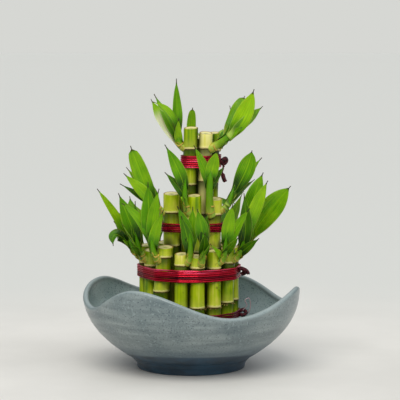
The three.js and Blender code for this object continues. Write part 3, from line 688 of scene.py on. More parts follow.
class Recipe:
    """A Geometry Nodes tree with named inputs, which grows a guide line into a plain mesh."""

    wire_sides: int = 8

    def __init__(self, name: str, inputs: Mapping[str, str]) -> None:
        """Start the tree.

        Args:
            name: The tree's name.
            inputs: The kind of each named input.
        """
        self.tree = bpy.data.node_groups.new(name, "GeometryNodeTree")
        self.tree.is_modifier = True
        self.kit = NodeKit(self.tree)
        layout = self.tree.interface
        layout.new_socket("Guide", in_out="INPUT", socket_type="NodeSocketGeometry")
        layout.new_socket("Piece", in_out="OUTPUT", socket_type="NodeSocketGeometry")
        self.sockets: dict[str, str] = {}
        for label, kind in {**inputs, "Finish": "Material"}.items():
            made = layout.new_socket(label, in_out="INPUT", socket_type=f"NodeSocket{kind}")
            self.sockets[label] = made.identifier
        self.given = self.kit.node("NodeGroupInput").outputs

    def stored(self, geometry: Socket, name: str, value: Value) -> Socket:
        """Store a number on every point.

        Args:
            geometry: The geometry to store it on.
            name: The number's name.
            value: The number.

        Returns:
            The geometry's socket.
        """
        made = self.kit.node("GeometryNodeStoreNamedAttribute",
                             {"Geometry": geometry, "Name": name, "Value": value},
                             data_type="FLOAT", domain="POINT")
        return made.outputs[0]

    def moved(self, geometry: Socket, **way: Socket) -> Socket:
        """Move every point."""
        return self.kit.node("GeometryNodeSetPosition", {"Geometry": geometry, **way}).outputs[0]

    def position(self) -> Socket:
        """Read each point's place."""
        return self.kit.node("GeometryNodeInputPosition").outputs[0]

    def copied_strands(self) -> tuple[Socket, Socket]:
        """Resample the guide into Steps points, and copy it for each of the Strands.

        Returns:
            The copies' socket, and the socket of each copy's number.
        """
        kit, given = self.kit, self.given
        curve = kit.node("GeometryNodeMeshToCurve", {"Mesh": given["Guide"]}).outputs[0]
        curve = kit.node("GeometryNodeResampleCurve", {"Curve": curve, "Count": given["Steps"]})
        copies = kit.node("GeometryNodeDuplicateElements",
                          {"Geometry": curve.outputs[0], "Amount": given["Strands"]},
                          domain="SPLINE").outputs
        return copies[0], copies["Duplicate Index"]

    def end_as_wire(self, curves: Socket, capped: bool) -> None:
        """Give curves the thickness of a wire, and end the tree.

        Args:
            curves: The curves that the wires follow.
            capped: Whether the wires' ends are closed.
        """
        ring = self.kit.node("GeometryNodeCurvePrimitiveCircle",
                             {"Resolution": self.wire_sides, "Radius": self.given["Radius"]})
        made = self.kit.node("GeometryNodeCurveToMesh",
                             {"Curve": curves, "Profile Curve": ring.outputs[0],
                              "Fill Caps": capped})
        self.end(made.outputs[0])

    def end(self, geometry: Socket) -> None:
        """End the tree: smooth, realised and dressed.

        Args:
            geometry: What the tree has made.
        """
        smoothed = self.kit.node("GeometryNodeSetShadeSmooth", {"Geometry": geometry}).outputs[0]
        real = self.kit.node("GeometryNodeRealizeInstances", {0: smoothed}).outputs[0]
        dressed = self.kit.node("GeometryNodeSetMaterial",
                                {"Geometry": real, "Material": self.given["Finish"]}).outputs[0]
        self.kit.node("NodeGroupOutput", {0: dressed})

    def grow(self, guide: Mesh, finish: Material,
             **values: object) -> Mesh:
        """Grow one guide.

        Args:
            guide: The line that it starts from, which is used up.
            finish: The material of the result.
            values: The other inputs.

        Returns:
            The plain mesh.
        """
        carrier = bpy.data.objects.new(guide.name, guide)
        bpy.context.scene.collection.objects.link(carrier)
        modifier = carrier.modifiers.new(self.tree.name, "NODES")
        modifier.node_group = self.tree
        modifier[self.sockets["Finish"]] = finish
        for label, value in values.items():
            modifier[self.sockets[label]] = value
        graph = bpy.context.evaluated_depsgraph_get()
        grown = carrier.evaluated_get(graph)
        made = bpy.data.meshes.new_from_object(grown, preserve_all_data_layers=True,
                                               depsgraph=graph)
        carrier.modifiers.clear()
        bpy.data.objects.remove(carrier)
        bpy.data.meshes.remove(guide)
        return made


class CaneRecipe(Recipe):
    """Turns a profile line about an upright axis into a closed cane, sheared to its lean."""

    waver_scale: float = 90.0
    slant_reach: float = 5.5 * MM
    weld: float = 0.01 * MM

    def __init__(self) -> None:
        """Build the tree."""
        super().__init__("turned_cane", {
            "Rows": "Int", "Sides": "Int", "Foot": "Vector", "Lean": "Vector", "Slant": "Vector",
            "Waver": "Float", "Seed": "Float", "Tint": "Float",
        })
        kit, given = self.kit, self.given
        grid = kit.node("GeometryNodeMeshGrid", {"Vertices X": kit.plus(given["Sides"], 1.0),
                                                 "Vertices Y": given["Rows"]})
        index = kit.node("GeometryNodeInputIndex").outputs[0]
        row = kit.math("MODULO", index, given["Rows"])
        column = kit.math("FLOOR", kit.over(index, given["Rows"]))
        angle = kit.times(kit.over(column, given["Sides"]), math.tau)
        profile = kit.parts(self.sampled("FLOAT_VECTOR", self.position(), row))
        radius, height = profile[0], profile[2]
        uneven = kit.drift(self.turned(radius, angle, height), given["Seed"], self.waver_scale)
        growth = kit.plus(kit.times(uneven, given["Waver"]), 1.0)
        turned = self.turned(kit.times(radius, growth), angle, height)
        lift = kit.node("ShaderNodeVectorMath", {0: turned, 1: given["Slant"]},
                        operation="DOT_PRODUCT").outputs[1]
        most = kit.times(kit.length(given["Slant"]), self.slant_reach)
        drop = kit.times(kit.minus(lift, most), self.sampled("FLOAT", self.own("cut_reach"), row))
        turned = kit.vector("ADD", turned, kit.combined(0.0, 0.0, drop))
        placed = kit.vector("ADD", kit.vector("ADD", turned, given["Foot"]),
                            kit.scaled(given["Lean"], height))
        body = self.moved(grid.outputs[0], Position=placed)
        for label in ("node_gap", "cut"):
            body = self.stored(body, label, self.sampled("FLOAT", self.own(label), row))
        body = self.stored(body, "tint", given["Tint"])
        welded = kit.node("GeometryNodeMergeByDistance", {"Geometry": body, "Distance": self.weld})
        self.end(welded.outputs[0])

    def turned(self, radius: Value, angle: Socket, height: Socket) -> Socket:
        """Place a profile's point at an angle.

        Args:
            radius: The point's radius.
            angle: The angle.
            height: The point's height.

        Returns:
            The place's socket.
        """
        kit = self.kit
        return kit.combined(kit.times(radius, kit.math("COSINE", angle)),
                            kit.times(radius, kit.math("SINE", angle)), height)

    def own(self, name: str) -> Socket:
        """Read one of the guide's own numbers."""
        return self.kit.node("GeometryNodeInputNamedAttribute", {"Name": name},
                             data_type="FLOAT").outputs[0]

    def sampled(self, data_type: str, value: Socket, row: Socket) -> Socket:
        """Read a value of the guide at a row.

        Args:
            data_type: The value's type.
            value: The value's socket.
            row: The row's number.

        Returns:
            The value's socket at that row.
        """
        return self.kit.node("GeometryNodeSampleIndex",
                             {"Geometry": self.given["Guide"], "Value": value, "Index": row},
                             data_type=data_type, domain="POINT").outputs[0]


class StrandRecipe(Recipe):
    """Winds side-by-side strands of wire along a closed line, each wandering a little."""

    wander_scale: float = 55.0
    strand_shift: float = 7.3
    sideways_shift: float = 31.7
    sideways: float = 0.5

    def __init__(self) -> None:
        """Build the tree."""
        super().__init__("wound_strands", {
            "Strands": "Int", "Pitch": "Float", "Radius": "Float", "Wander": "Float",
            "Steps": "Int", "Seed": "Int", "Dulled": "Float",
        })
        kit, given = self.kit, self.given
        copies, number = self.copied_strands()
        middle = kit.times(kit.minus(given["Strands"], 1.0), 0.5)
        rise = kit.times(kit.minus(number, middle), given["Pitch"])
        shift = kit.plus(kit.times(number, self.strand_shift), given["Seed"])
        up, aside = (kit.times(kit.drift(self.position(), kit.plus(shift, turn), self.wander_scale),
                               given["Wander"]) for turn in (0.0, self.sideways_shift))
        tangent = kit.node("GeometryNodeInputTangent").outputs[0]
        out = kit.vector("CROSS_PRODUCT", tangent, (0.0, 0.0, 1.0))
        offset = kit.vector("ADD", kit.scaled(out, kit.times(aside, self.sideways)),
                            kit.combined(0.0, 0.0, kit.plus(rise, up)))
        wound = self.moved(copies, Offset=offset)
        random = kit.node("FunctionNodeRandomValue",
                          {2: 0.0, 3: 1.0, "ID": number, "Seed": given["Seed"]},
                          data_type="FLOAT").outputs[1]
        wound = self.stored(self.stored(wound, "strand", random), "painted_tie_shade", given["Dulled"])
        self.end_as_wire(wound, capped=False)


class TwistRecipe(Recipe):
    """Twists strands of wire round an open line and closes their ends."""

    def __init__(self) -> None:
        """Build the tree."""
        super().__init__("twisted_wire", {
            "Strands": "Int", "Turns": "Float", "Spread": "Float", "Radius": "Float",
            "Steps": "Int",
        })
        kit, given = self.kit, self.given
        copies, number = self.copied_strands()
        part = kit.over(number, given["Strands"])
        along = kit.node("GeometryNodeSplineParameter").outputs["Factor"]
        angle = kit.times(kit.plus(kit.times(along, given["Turns"]), part), math.tau)
        normal = kit.node("GeometryNodeInputNormal").outputs[0]
        tangent = kit.node("GeometryNodeInputTangent").outputs[0]
        binormal = kit.vector("CROSS_PRODUCT", tangent, normal)
        sides = [kit.scaled(way, kit.times(kit.math(wave, angle), given["Spread"]))
                 for way, wave in ((normal, "COSINE"), (binormal, "SINE"))]
        twisted = self.moved(copies, Offset=kit.vector("ADD", *sides))
        self.end_as_wire(self.stored(twisted, "strand", part), capped=True)


class FibreRecipe(Recipe):
    """Sets a short root stub on every point of a ring, pointing out and down from its middle."""

    sides: int = 6
    segments: int = 2
    taper: float = 0.35
    shortest: float = 0.45
    stray: tuple[Place, Place] = ((-0.45, -0.45, -0.9), (0.45, 0.45, 0.1))

    def __init__(self) -> None:
        """Build the tree."""
        super().__init__("root_fibres", {
            "Middle": "Vector", "Length": "Float", "Thickness": "Float", "Seed": "Int",
        })
        kit, given = self.kit, self.given
        stub = kit.node("GeometryNodeMeshCone", {
            "Vertices": self.sides, "Side Segments": self.segments,
            "Radius Bottom": given["Thickness"],
            "Radius Top": kit.times(given["Thickness"], self.taper), "Depth": given["Length"],
        }).outputs[0]
        out = kit.vector("SUBTRACT", self.position(), given["Middle"])
        stray = kit.node("FunctionNodeRandomValue",
                         {0: self.stray[0], 1: self.stray[1], "Seed": given["Seed"]},
                         data_type="FLOAT_VECTOR").outputs[0]
        way = kit.vector("ADD", kit.vector("NORMALIZE", out), stray)
        turn = kit.node("FunctionNodeAlignRotationToVector", {"Vector": way}, axis="Z").outputs[0]
        size = kit.node("FunctionNodeRandomValue",
                        {2: self.shortest, 3: 1.0, "Seed": given["Seed"]},
                        data_type="FLOAT").outputs[1]
        placed = kit.node("GeometryNodeInstanceOnPoints", {
            "Points": given["Guide"], "Instance": stub, "Rotation": turn, "Scale": size,
        }).outputs[0]
        self.end(placed)


# Bowl


# Radius, height, how much of the rim's finish shows, and of the foot's (below 0 the inside's).
Row = tuple[float, float, float, float]


@dataclass(frozen=True)
class Bowl:
    """Stoneware bowl on a turned foot, with four points and four dips in its rim.

    The dark foot colour ends a little above the foot, and higher at the front than at the back.
    """

    foot_radius: float = 40
    foot_top_radius: float = 43.4
    foot_height: float = 7.1
    foot_chamfer: float = 1
    shoulder_radius: float = 45
    shoulder_height: float = 8.6
    belly_radius: float = 80.5
    belly_height: float = 62
    belly_power: float = 2.5
    wall: float = 4.2
    floor_height: float = 14
    floor_radius: float = 43
    floor_middle: float = 24
    hollow: tuple[Pair, ...] = ((0, 1.2), (20, 1.2), (33, 1.2), (34, 0))
    foot_glaze_top: float = 11
    dark_foot_front_rise: float = 6.5
    foot_glaze_fade: float = 2
    columns: int = 288
    chamfer_rows: int = 4
    foot_rows: int = 8
    shoulder_parts: tuple[float, ...] = (0.35, 0.7)
    outer_rows: int = 44
    rim_rows: int = 12
    inner_rows: int = 30
    row_crowding: float = 1.35
    ring_depth: float = 0.16
    rim_calm: float = 5
    rim_wear: float = 0.35
    rim_wave: tuple[Pair, ...] = (
        (-12, 61.5), (23, 46), (68, 60), (110, 47), (151, 62), (203, 49), (240, 66), (293, 47),
    )

    def rim_height(self, azimuth: float) -> float:
        """Return the rim's height, easing from each point to the next dip and back.

        Args:
            azimuth: Degrees from +X.

        Returns:
            The height in millimetres.
        """
        count = len(self.rim_wave)
        for k, (start, height) in enumerate(self.rim_wave):
            end, next_height = self.rim_wave[(k + 1) % count]
            span, along = (end - start) % 360, (azimuth - start) % 360
            if along <= span:
                return height + (next_height - height) * (1 - math.cos(math.pi * along / span)) / 2
        return self.rim_wave[0][1]

    def wall_radius(self, height: float, start: Pair, end: float) -> float:
        """Return the radius of a wall that is upright at the belly."""
        fall = max(0.0, self.belly_height - height) / (self.belly_height - start[1])
        return end - (end - start[0]) * fall ** self.belly_power

    def outer_radius(self, height: float) -> float:
        """Return the outer wall's radius."""
        start = (self.shoulder_radius, self.shoulder_height)
        return self.wall_radius(height, start, self.belly_radius)

    def inner_radius(self, height: float) -> float:
        """Return the inner wall's radius."""
        start = (self.floor_radius, self.floor_height)
        return self.wall_radius(height, start, self.belly_radius - self.wall)

    def throwing_ring(self, height: float, azimuth: float) -> float:
        """Return how far the potter's finger marks sink the wall at a place.

        Args:
            height: The height on the wall.
            azimuth: Degrees from +X.

        Returns:
            The depth in millimetres, from 0 to the ring depth.
        """
        turn = math.radians(azimuth)
        drift = 0.8 * math.sin(turn) + 0.5 * math.sin(2 * turn + math.radians(40))
        wave = math.sin((height + drift) * 1.55) + 0.6 * math.sin((height - drift) * 0.83 + 1)
        return self.ring_depth * (1.6 + wave) / 3.2

    def foot_section(self) -> list[Row]:
        """Return the rows from the foot's middle out and up to the shoulder.

        Returns:
            The rows.
        """
        radius, chamfer = self.foot_radius, self.foot_chamfer
        rows = [(float(out), float(height), 0.0, 1.0) for out, height in self.hollow]
        rows.append((radius - chamfer, 0.0, 0.3, 1.0))
        for k in range(1, self.chamfer_rows + 1):
            angle = math.pi / 2 * k / self.chamfer_rows
            rows.append((radius - chamfer * (1 - math.sin(angle)), chamfer * (1 - math.cos(angle)),
                         0.1, 1.0))
        for k in range(1, self.foot_rows + 1):
            part = k / self.foot_rows
            rows.append((radius + (self.foot_top_radius - radius) * part ** 2,
                         chamfer + (self.foot_height - chamfer) * part, 0.0, 1.0))
        step = self.shoulder_radius - self.foot_top_radius
        rise = self.shoulder_height - self.foot_height
        for part in self.shoulder_parts:
            rows.append((self.foot_top_radius + step * part ** 2, self.foot_height + rise * part,
                         0.0, 1.0))
        return rows

    def section(self, azimuth: float) -> list[Row]:
        """Return the rows from the foot's middle out, over the rim and to the floor's middle.

        Args:
            azimuth: Degrees from +X.

        Returns:
            The rows.
        """
        lip = self.wall / 2
        wall_top = self.rim_height(azimuth) - lip
        forward = max(0.0, -math.sin(math.radians(azimuth)))
        # The dark foot colour reaches higher at the front than at the back.
        dark_foot_edge = self.foot_glaze_top + self.dark_foot_front_rise * forward

        def wall_rows(count: int, low: float) -> list[Pair]:
            """Return the wall rows, each with its height and how near the rim it is.

            Args:
                count: How many rows there are.
                low: The height of the lowest.

            Returns:
                The rows, whose nearness runs from 0 to 1.
            """
            heights = [low + (wall_top - low) * (k / count) ** self.row_crowding
                       for k in range(count)]
            return [(height, smooth(1 - (wall_top + lip - height) / self.rim_calm))
                    for height in heights]

        rows = self.foot_section()
        for height, near in wall_rows(self.outer_rows, self.shoulder_height):
            radius = self.outer_radius(height) - self.throwing_ring(height, azimuth) * (1 - near)
            bare = smooth((dark_foot_edge - height) / self.foot_glaze_fade)
            rows.append((radius, height, self.rim_wear * near, bare))
        outer, inner = self.outer_radius(wall_top), self.inner_radius(wall_top)
        for k in range(self.rim_rows + 1):
            angle = math.pi * k / self.rim_rows
            rows.append(((outer + inner) / 2 + (outer - inner) / 2 * math.cos(angle),
                         wall_top + lip * math.sin(angle),
                         self.rim_wear + (1 - self.rim_wear) * math.sin(angle) ** 2, 0.0))
        for height, near in reversed(wall_rows(self.inner_rows, self.floor_height)):
            radius = self.inner_radius(height) + self.throwing_ring(height, azimuth) * (1 - near)
            rows.append((radius, height, self.rim_wear * near, near - 1))
        return rows + [(out, self.floor_height, 0.0, -1.0) for out in (self.floor_middle, 0.0)]

    def build(self, finish: Material) -> bpy.types.Object:
        """Turn the bowl's sections into one closed wall.

        Args:
            finish: Its glaze.

        Returns:
            The piece.
        """
        sections = [self.section(360 * column / self.columns) for column in range(self.columns)]
        places: list[Place] = [(0.0, 0.0, sections[0][0][1]), (0.0, 0.0, sections[0][-1][1])]
        rim, foot = [0.0, 0.0], [1.0, -1.0]
        for column, section in enumerate(sections):
            angle = math.tau * column / self.columns
            for radius, height, rim_part, foot_part in section[1:-1]:
                places.append((radius * math.cos(angle), radius * math.sin(angle), height))
                rim.append(rim_part)
                foot.append(foot_part)
        inside = len(sections[0]) - 2
        faces: list[tuple[int, ...]] = []
        for column in range(self.columns):
            here, there = 2 + column * inside, 2 + (column + 1) % self.columns * inside
            faces.append((0, there, here))
            for row in range(inside - 1):
                faces.append((here + row, there + row, there + row + 1, here + row + 1))
            faces.append((here + inside - 1, there + inside - 1, 1))
        fields = {"rim": rim, "foot": [max(0.0, part) for part in foot],
                  "inside": [max(0.0, -part) for part in foot]}
        mesh = skin_mesh("bowl_wall", np.array(places), faces, fields, finish)
        return present("stoneware_bowl", mesh, ["bowl"])


# Canes


class Tier(Enum):
    """The three rings of canes."""

    LOWER = "lower"
    MIDDLE = "middle"
    UPPER = "upper"


CANE_FOOT = 14.3


@dataclass(frozen=True)
class Cane:
    """One cut cane, upright or leaning from its foot to its top.

    Each ridge at a node is given as a share of the radius, its height over the node and its half
    height. The rows of the cut are given inwards from the side, down from the top, and by their
    place in the cut's own finish.
    """

    tier: Tier
    number: int
    foot: Pair
    top: Pair
    height: float
    diameter: float
    nodes: tuple[float, ...]
    tint: float

    swelling: ClassVar[Place] = (0.022, -0.5, 3.2)
    ring: ClassVar[Place] = (0.034, 0.1, 0.75)
    groove: ClassVar[Place] = (-0.03, -1.25, 0.4)
    node_rows: ClassVar[tuple[float, ...]] = (-3.4, -2.4, -1.9, -1.55, -1.25, -0.95, -0.65, -0.35,
                                              -0.1, 0.15, 0.45, 0.8, 1.3, 2.2, 3.4)
    node_reach: ClassVar[float] = 4.0
    row_step: ClassVar[float] = 3.0
    end_reach: ClassVar[float] = 0.6
    halfway_gap: ClassVar[float] = 0.02
    foot_round: ClassVar[float] = 0.3
    cut_rows: ClassVar[tuple[Place, ...]] = (
        (0.0, 0.35, 0.0), (0.05, 0.12, 0.0), (0.2, 0.0, 0.02), (0.75, 0.0, 0.14), (0.95, 0.18, 0.2))
    # These three are given by the part of the radius instead.
    heart_rows: ClassVar[tuple[Place, ...]] = ((0.6, 0.4, 0.45), (0.3, 0.5, 0.75), (0.0, 0.5, 1.0))
    slant_height: ClassVar[float] = 5.0

    @property
    def name(self) -> str:
        """Return the tier and number that name it."""
        return f"{self.tier.value}_{self.number}"

    def centre(self, height: float) -> np.ndarray:
        """Return the place of the axis at a height."""
        return self.axis(np.array([height]))[0]

    def axis(self, heights: np.ndarray) -> np.ndarray:
        """Return the places of the axis at some heights.

        Args:
            heights: The heights.

        Returns:
            The places, one in each row.
        """
        part = (heights - CANE_FOOT) / (self.height - CANE_FOOT)
        return np.column_stack([self.foot[0] + (self.top[0] - self.foot[0]) * part,
                                self.foot[1] + (self.top[1] - self.foot[1]) * part, heights])

    def distance(self, places: np.ndarray) -> np.ndarray:
        """Return how far places are from the cane's side."""
        nearest = self.axis(np.clip(places[:, 2], CANE_FOOT, self.height))
        return np.linalg.norm(nearest - places, axis=1) - self.diameter / 2

    def gap(self, height: float) -> float:
        """Return how far a height is above the nearest node, or below it where negative."""
        return min((height - node for node in self.nodes), key=abs)

    def radius(self, height: float) -> float:
        """Return the radius: a soft swelling, a raised ring and a groove under it at each node.

        Args:
            height: The height on the cane.

        Returns:
            The radius in millimetres.
        """
        gap = self.gap(height)
        relief = sum(share * math.exp(-((gap - place) / half) ** 2)
                     for share, place, half in (self.swelling, self.ring, self.groove))
        return self.diameter / 2 * (1 + relief)

    def side_heights(self) -> list[float]:
        """Return the heights of the rows on the side, close together at the nodes.

        Returns:
            The heights, from the foot up.
        """
        wanted = [node + offset for node in self.nodes for offset in self.node_rows]
        for low, high in zip(self.nodes, self.nodes[1:]):
            halfway = (low + high) / 2
            wanted += [halfway - self.halfway_gap, halfway + self.halfway_gap]
        coarse = CANE_FOOT + 1
        while coarse < self.height - self.end_reach:
            if abs(self.gap(coarse)) > self.node_reach:
                wanted.append(coarse)
            coarse += self.row_step
        low, high = CANE_FOOT + self.end_reach, self.height - self.end_reach
        return sorted(height for height in wanted if low < height < high)

    def guide(self) -> Mesh:
        """Return the profile line from the middle of the foot to the middle of the cut.

        Returns:
            The line, with each row's height over its node, its place in the cut's finish and how
            far it follows the cut's slant.
        """
        side, top = self.diameter / 2, self.height
        rows = [(0.0, CANE_FOOT, 0.0), (side - self.foot_round, CANE_FOOT, 0.0),
                (side, CANE_FOOT + self.foot_round, 0.0)]
        rows += [(self.radius(height), height, 0.0) for height in self.side_heights()]
        rows += [(side - inward, top - down, cut) for inward, down, cut in self.cut_rows]
        rows += [(side * part, top - down, cut) for part, down, cut in self.heart_rows]
        return line_mesh(f"cane_{self.name}",
                         [np.array([radius, 0.0, height]) for radius, height, _ in rows],
                         node_gap=[self.gap(height) for _, height, _ in rows],
                         cut=[cut for _, _, cut in rows],
                         cut_reach=[smooth(1 - (top - height) / self.slant_height)
                                    for _, height, _ in rows])


@dataclass(frozen=True)
class CaneBundle:
    """All the canes: a ring of fourteen, a ring of six inside it and four in the middle."""

    ring_centre: Pair = (-1.7, 0.0)
    ring_radius: float = 31.5
    back_first: float = 22.6
    back_step: float = 25.55
    back_count: int = 6
    sides: int = 40
    waver: float = 0.035
    # How far from another cane the painted crevice shade reaches; then the strength, inset, fade
    # and top height of the painted shade deep inside the bundle.
    crevice: float = 5.5
    inner_shade: float = 0.85
    shade_inset: float = 3.0
    shade_fade: float = 4.0
    shade_top: float = 92.0
    shade_top_fade: float = 8.0
    slants: tuple[Pair, ...] = (
        (0.03, 0.15), (-0.05, 0.19), (0.06, 0.12), (-0.02, 0.2), (0.0, 0.16),
    )

    def back_canes(self) -> list[Cane]:
        """Return the canes at the back of the lower ring, one step apart and a little uneven.

        Returns:
            The canes, numbered from 2.
        """
        canes = []
        for k in range(self.back_count):
            angle = math.radians(self.back_first + self.back_step * k)
            place = (self.ring_centre[0] + self.ring_radius * math.cos(angle),
                     self.ring_centre[1] + self.ring_radius * math.sin(angle))
            height, diameter = 90 + 2 * math.sin(2.3 * k), 10.8 + 0.6 * math.cos(1.7 * k)
            nodes = (49 + 3 * math.sin(1.9 * k), 78 + 2 * math.cos(k))
            tint = 0.5 + 0.12 * math.sin(3 * k)
            canes.append(Cane(Tier.LOWER, k + 2, place, place, height, diameter, nodes, tint))
        return canes

    def canes(self) -> list[Cane]:
        """Return every cane in the order of its number, tier by tier.

        Returns:
            The canes.
        """
        low, mid, up = Tier.LOWER, Tier.MIDDLE, Tier.UPPER
        return [
            Cane(low, 1, (29.8, -1.6), (29.8, -1.6), 90, 10.6, (51, 79), 0.6),
            *self.back_canes(),
            Cane(low, 8, (-33.1, 2.3), (-33.1, 2.3), 91, 10.4, (47, 78), 0.62),
            Cane(low, 9, (-29.5, -9.5), (-29.2, -9.5), 89, 9.8, (52, 77), 0.55),
            Cane(low, 10, (-26, -23), (-18.5, -22.5), 92.5, 11.4, (36, 60, 85), 0.5),
            Cane(low, 11, (-7.3, -31), (-6.8, -31), 88.5, 9.9, (48, 80), 0.66),
            Cane(low, 12, (4.1, -31), (4.4, -31), 87, 11, (49, 78), 0.56),
            Cane(low, 13, (16.6, -25.6), (16.6, -25.6), 90, 10, (49, 77), 0.6),
            Cane(low, 14, (24.3, -16), (27, -16.5), 91, 10.6, (51, 80), 0.52),
            Cane(mid, 1, (-14.3, -11), (-14.3, -11), 130.5, 11.8, (92, 116.5), 0.68),
            Cane(mid, 2, (2.4, -17.5), (2.4, -17.5), 129.5, 10.2, (88, 112), 0.5),
            Cane(mid, 3, (13.1, -13.5), (17.5, -12.5), 127, 10.6, (90, 115), 0.75),
            Cane(mid, 4, (9, 17), (9, 17), 128, 11, (95, 117), 0.5),
            Cane(mid, 5, (-4, 17.2), (-4, 17.2), 131, 11.2, (90, 114), 0.6),
            Cane(mid, 6, (-13.5, 5), (-13.5, 5), 129, 11.4, (96,), 0.45),
            Cane(up, 1, (-4.2, -4.2), (0, -4), 178, 10.5, (110, 136.3, 162.5), 0.52),
            Cane(up, 2, (6.8, -4.7), (11, -4.5), 174.6, 9.8, (115, 139, 163), 1.05),
            Cane(up, 3, (12, 4.6), (16.2, 4.8), 173.8, 10, (113, 137, 161), 0.45),
            Cane(up, 4, (1.1, 5.3), (5.3, 5.3), 171, 10.3, (116, 140, 160), 0.5),
        ]

    def paint_cane_shade(self, mesh: Mesh, cane: Cane, canes: Sequence[Cane]) -> None:
        """Store painted shade on each point: how closely it faces another cane, or how deep in the
        bundle it is.

        Args:
            mesh: The cane's mesh.
            cane: The cane.
            canes: All the canes.
        """
        flat = np.empty(3 * len(mesh.vertices))
        mesh.vertices.foreach_get("co", flat)
        places = flat.reshape(-1, 3) / MM
        near = np.min([other.distance(places) for other in canes if other is not cane], axis=0)
        part = np.clip(near / self.crevice, 0, 1)
        close = 1 - part * part * (3 - 2 * part)
        reach = np.hypot(places[:, 0] - self.ring_centre[0], places[:, 1] - self.ring_centre[1])
        deep = np.clip((self.ring_radius - self.shade_inset - reach) / self.shade_fade, 0, 1)
        deep *= np.clip((self.shade_top - places[:, 2]) / self.shade_top_fade, 0, 1)
        store(mesh, {"close": np.maximum(close, self.inner_shade * deep)})

    def build(self, finish: Material) -> list[Cane]:
        """Turn every cane.

        Args:
            finish: The canes' finish.

        Returns:
            The canes that were built.
        """
        recipe = CaneRecipe()
        canes = self.canes()
        for seed, cane in enumerate(canes):
            lean = [(cane.top[axis] - cane.foot[axis]) / (cane.height - CANE_FOOT)
                    for axis in (0, 1)]
            foot = [(cane.foot[axis] - lean[axis] * CANE_FOOT) * MM for axis in (0, 1)]
            guide = cane.guide()
            mesh = recipe.grow(guide, finish, Rows=len(guide.vertices), Sides=self.sides,
                               Foot=(*foot, 0.0), Lean=(*lean, 0.0),
                               Slant=(*self.slants[seed % len(self.slants)], 0.0),
                               Waver=self.waver, Seed=float(seed), Tint=cane.tint)
            self.paint_cane_shade(mesh, cane, canes)
            present(f"cane_{cane.name}", mesh, [f"stalk_{cane.name}"])
        return canes


@dataclass(frozen=True)
class RootFringe:
    """Short dry root stubs round the lower nodes of the front canes."""

    canes: tuple[str, ...] = ("lower_11", "lower_12", "lower_13", "lower_14")
    stubs: int = 11
    length: float = 1.9
    thickness: float = 0.32
    below: float = 1.4
    seat: float = 0.1
    unevenness: float = 0.6

    def build(self, canes: Sequence[Cane], finish: Material) -> None:
        """Set a ring of stubs on each cane.

        Args:
            canes: All the canes.
            finish: The stubs' finish.
        """
        recipe = FibreRecipe()
        for seed, cane in enumerate(cane for cane in canes if cane.name in self.canes):
            height = cane.nodes[0] - self.below
            middle, reach = cane.centre(height), cane.radius(height) + self.seat
            turns = [math.tau * k / self.stubs + 0.3 * math.sin(5.1 * k + seed)
                     for k in range(self.stubs)]
            ring = [middle + (reach * math.cos(turn), reach * math.sin(turn),
                              self.unevenness * math.sin(3.7 * turn)) for turn in turns]
            mesh = recipe.grow(line_mesh(f"roots_{cane.name}", ring, True), finish,
                               Middle=tuple(middle * MM), Length=self.length * MM,
                               Thickness=self.thickness * MM, Seed=seed)
            present(f"root_stubs_{cane.name}", mesh)


# Ties


@dataclass(frozen=True)
class Tie:
    """A band of wire strands wound round some tiers, knotted on one side."""

    name: str
    height: float
    width: float
    azimuth: float
    tiers: tuple[Tier, ...]
    strands: int
    # How much painted shade darkens the tie, most on the bottom tie low by the rim.
    painted_tie_shade: float = 0.0
    gap: float = 0.35
    thickness: float = 1.5
    corners: int = 60

    def outline(self, canes: Sequence[Cane]) -> list[np.ndarray]:
        """Return the taut line that the middle of the band takes round the canes.

        Args:
            canes: The canes inside it.

        Returns:
            Its corners, turning left.
        """
        points = []
        for cane in canes:
            reach = cane.diameter / 2 + (self.gap + self.thickness / 2)
            for height in (self.height - self.width / 2, self.height + self.width / 2):
                x, y, _ = cane.centre(height)
                for k in range(self.corners):
                    angle = math.tau * k / self.corners
                    points.append((x + reach * math.cos(angle), y + reach * math.sin(angle)))
        points.sort()

        def half(ordered: Iterable[Pair]) -> list[Pair]:
            """Return one side of the outline.

            Args:
                ordered: The points from one end of the outline to the other.

            Returns:
                The side's corners without its last one.
            """
            side: list[Pair] = []
            for x, y in ordered:
                while len(side) > 1:
                    (x0, y0), (x1, y1) = side[-2:]
                    if (x1 - x0) * (y - y0) - (y1 - y0) * (x - x0) > 0:
                        break
                    side.pop()
                side.append((x, y))
            return side[:-1]

        return [np.array([x, y, self.height]) for x, y in half(points) + half(reversed(points))]

    def edge(self, canes: Sequence[Cane]) -> tuple[np.ndarray, np.ndarray]:
        """Return where the knot leaves the band, and the direction out from there.

        Args:
            canes: The canes inside the tie.

        Returns:
            The place and the direction.
        """
        middle = np.mean([cane.centre(self.height) for cane in canes], axis=0)
        azimuth = math.radians(self.azimuth)
        out = np.array([math.cos(azimuth), math.sin(azimuth), 0.0])
        reach = max(float((cane.centre(self.height) - middle) @ out) + cane.diameter / 2
                    for cane in canes)
        return middle + out * (reach + self.gap), out


@dataclass(frozen=True)
class WireEnd:
    """A length of twisted or single wire that leaves a knot."""

    tie: str
    name: str
    route: tuple[Place, ...]
    strands: int = 2
    turns: float = 3.0
    spread: float = 0.55
    radius: float = 0.6
    pale: bool = False


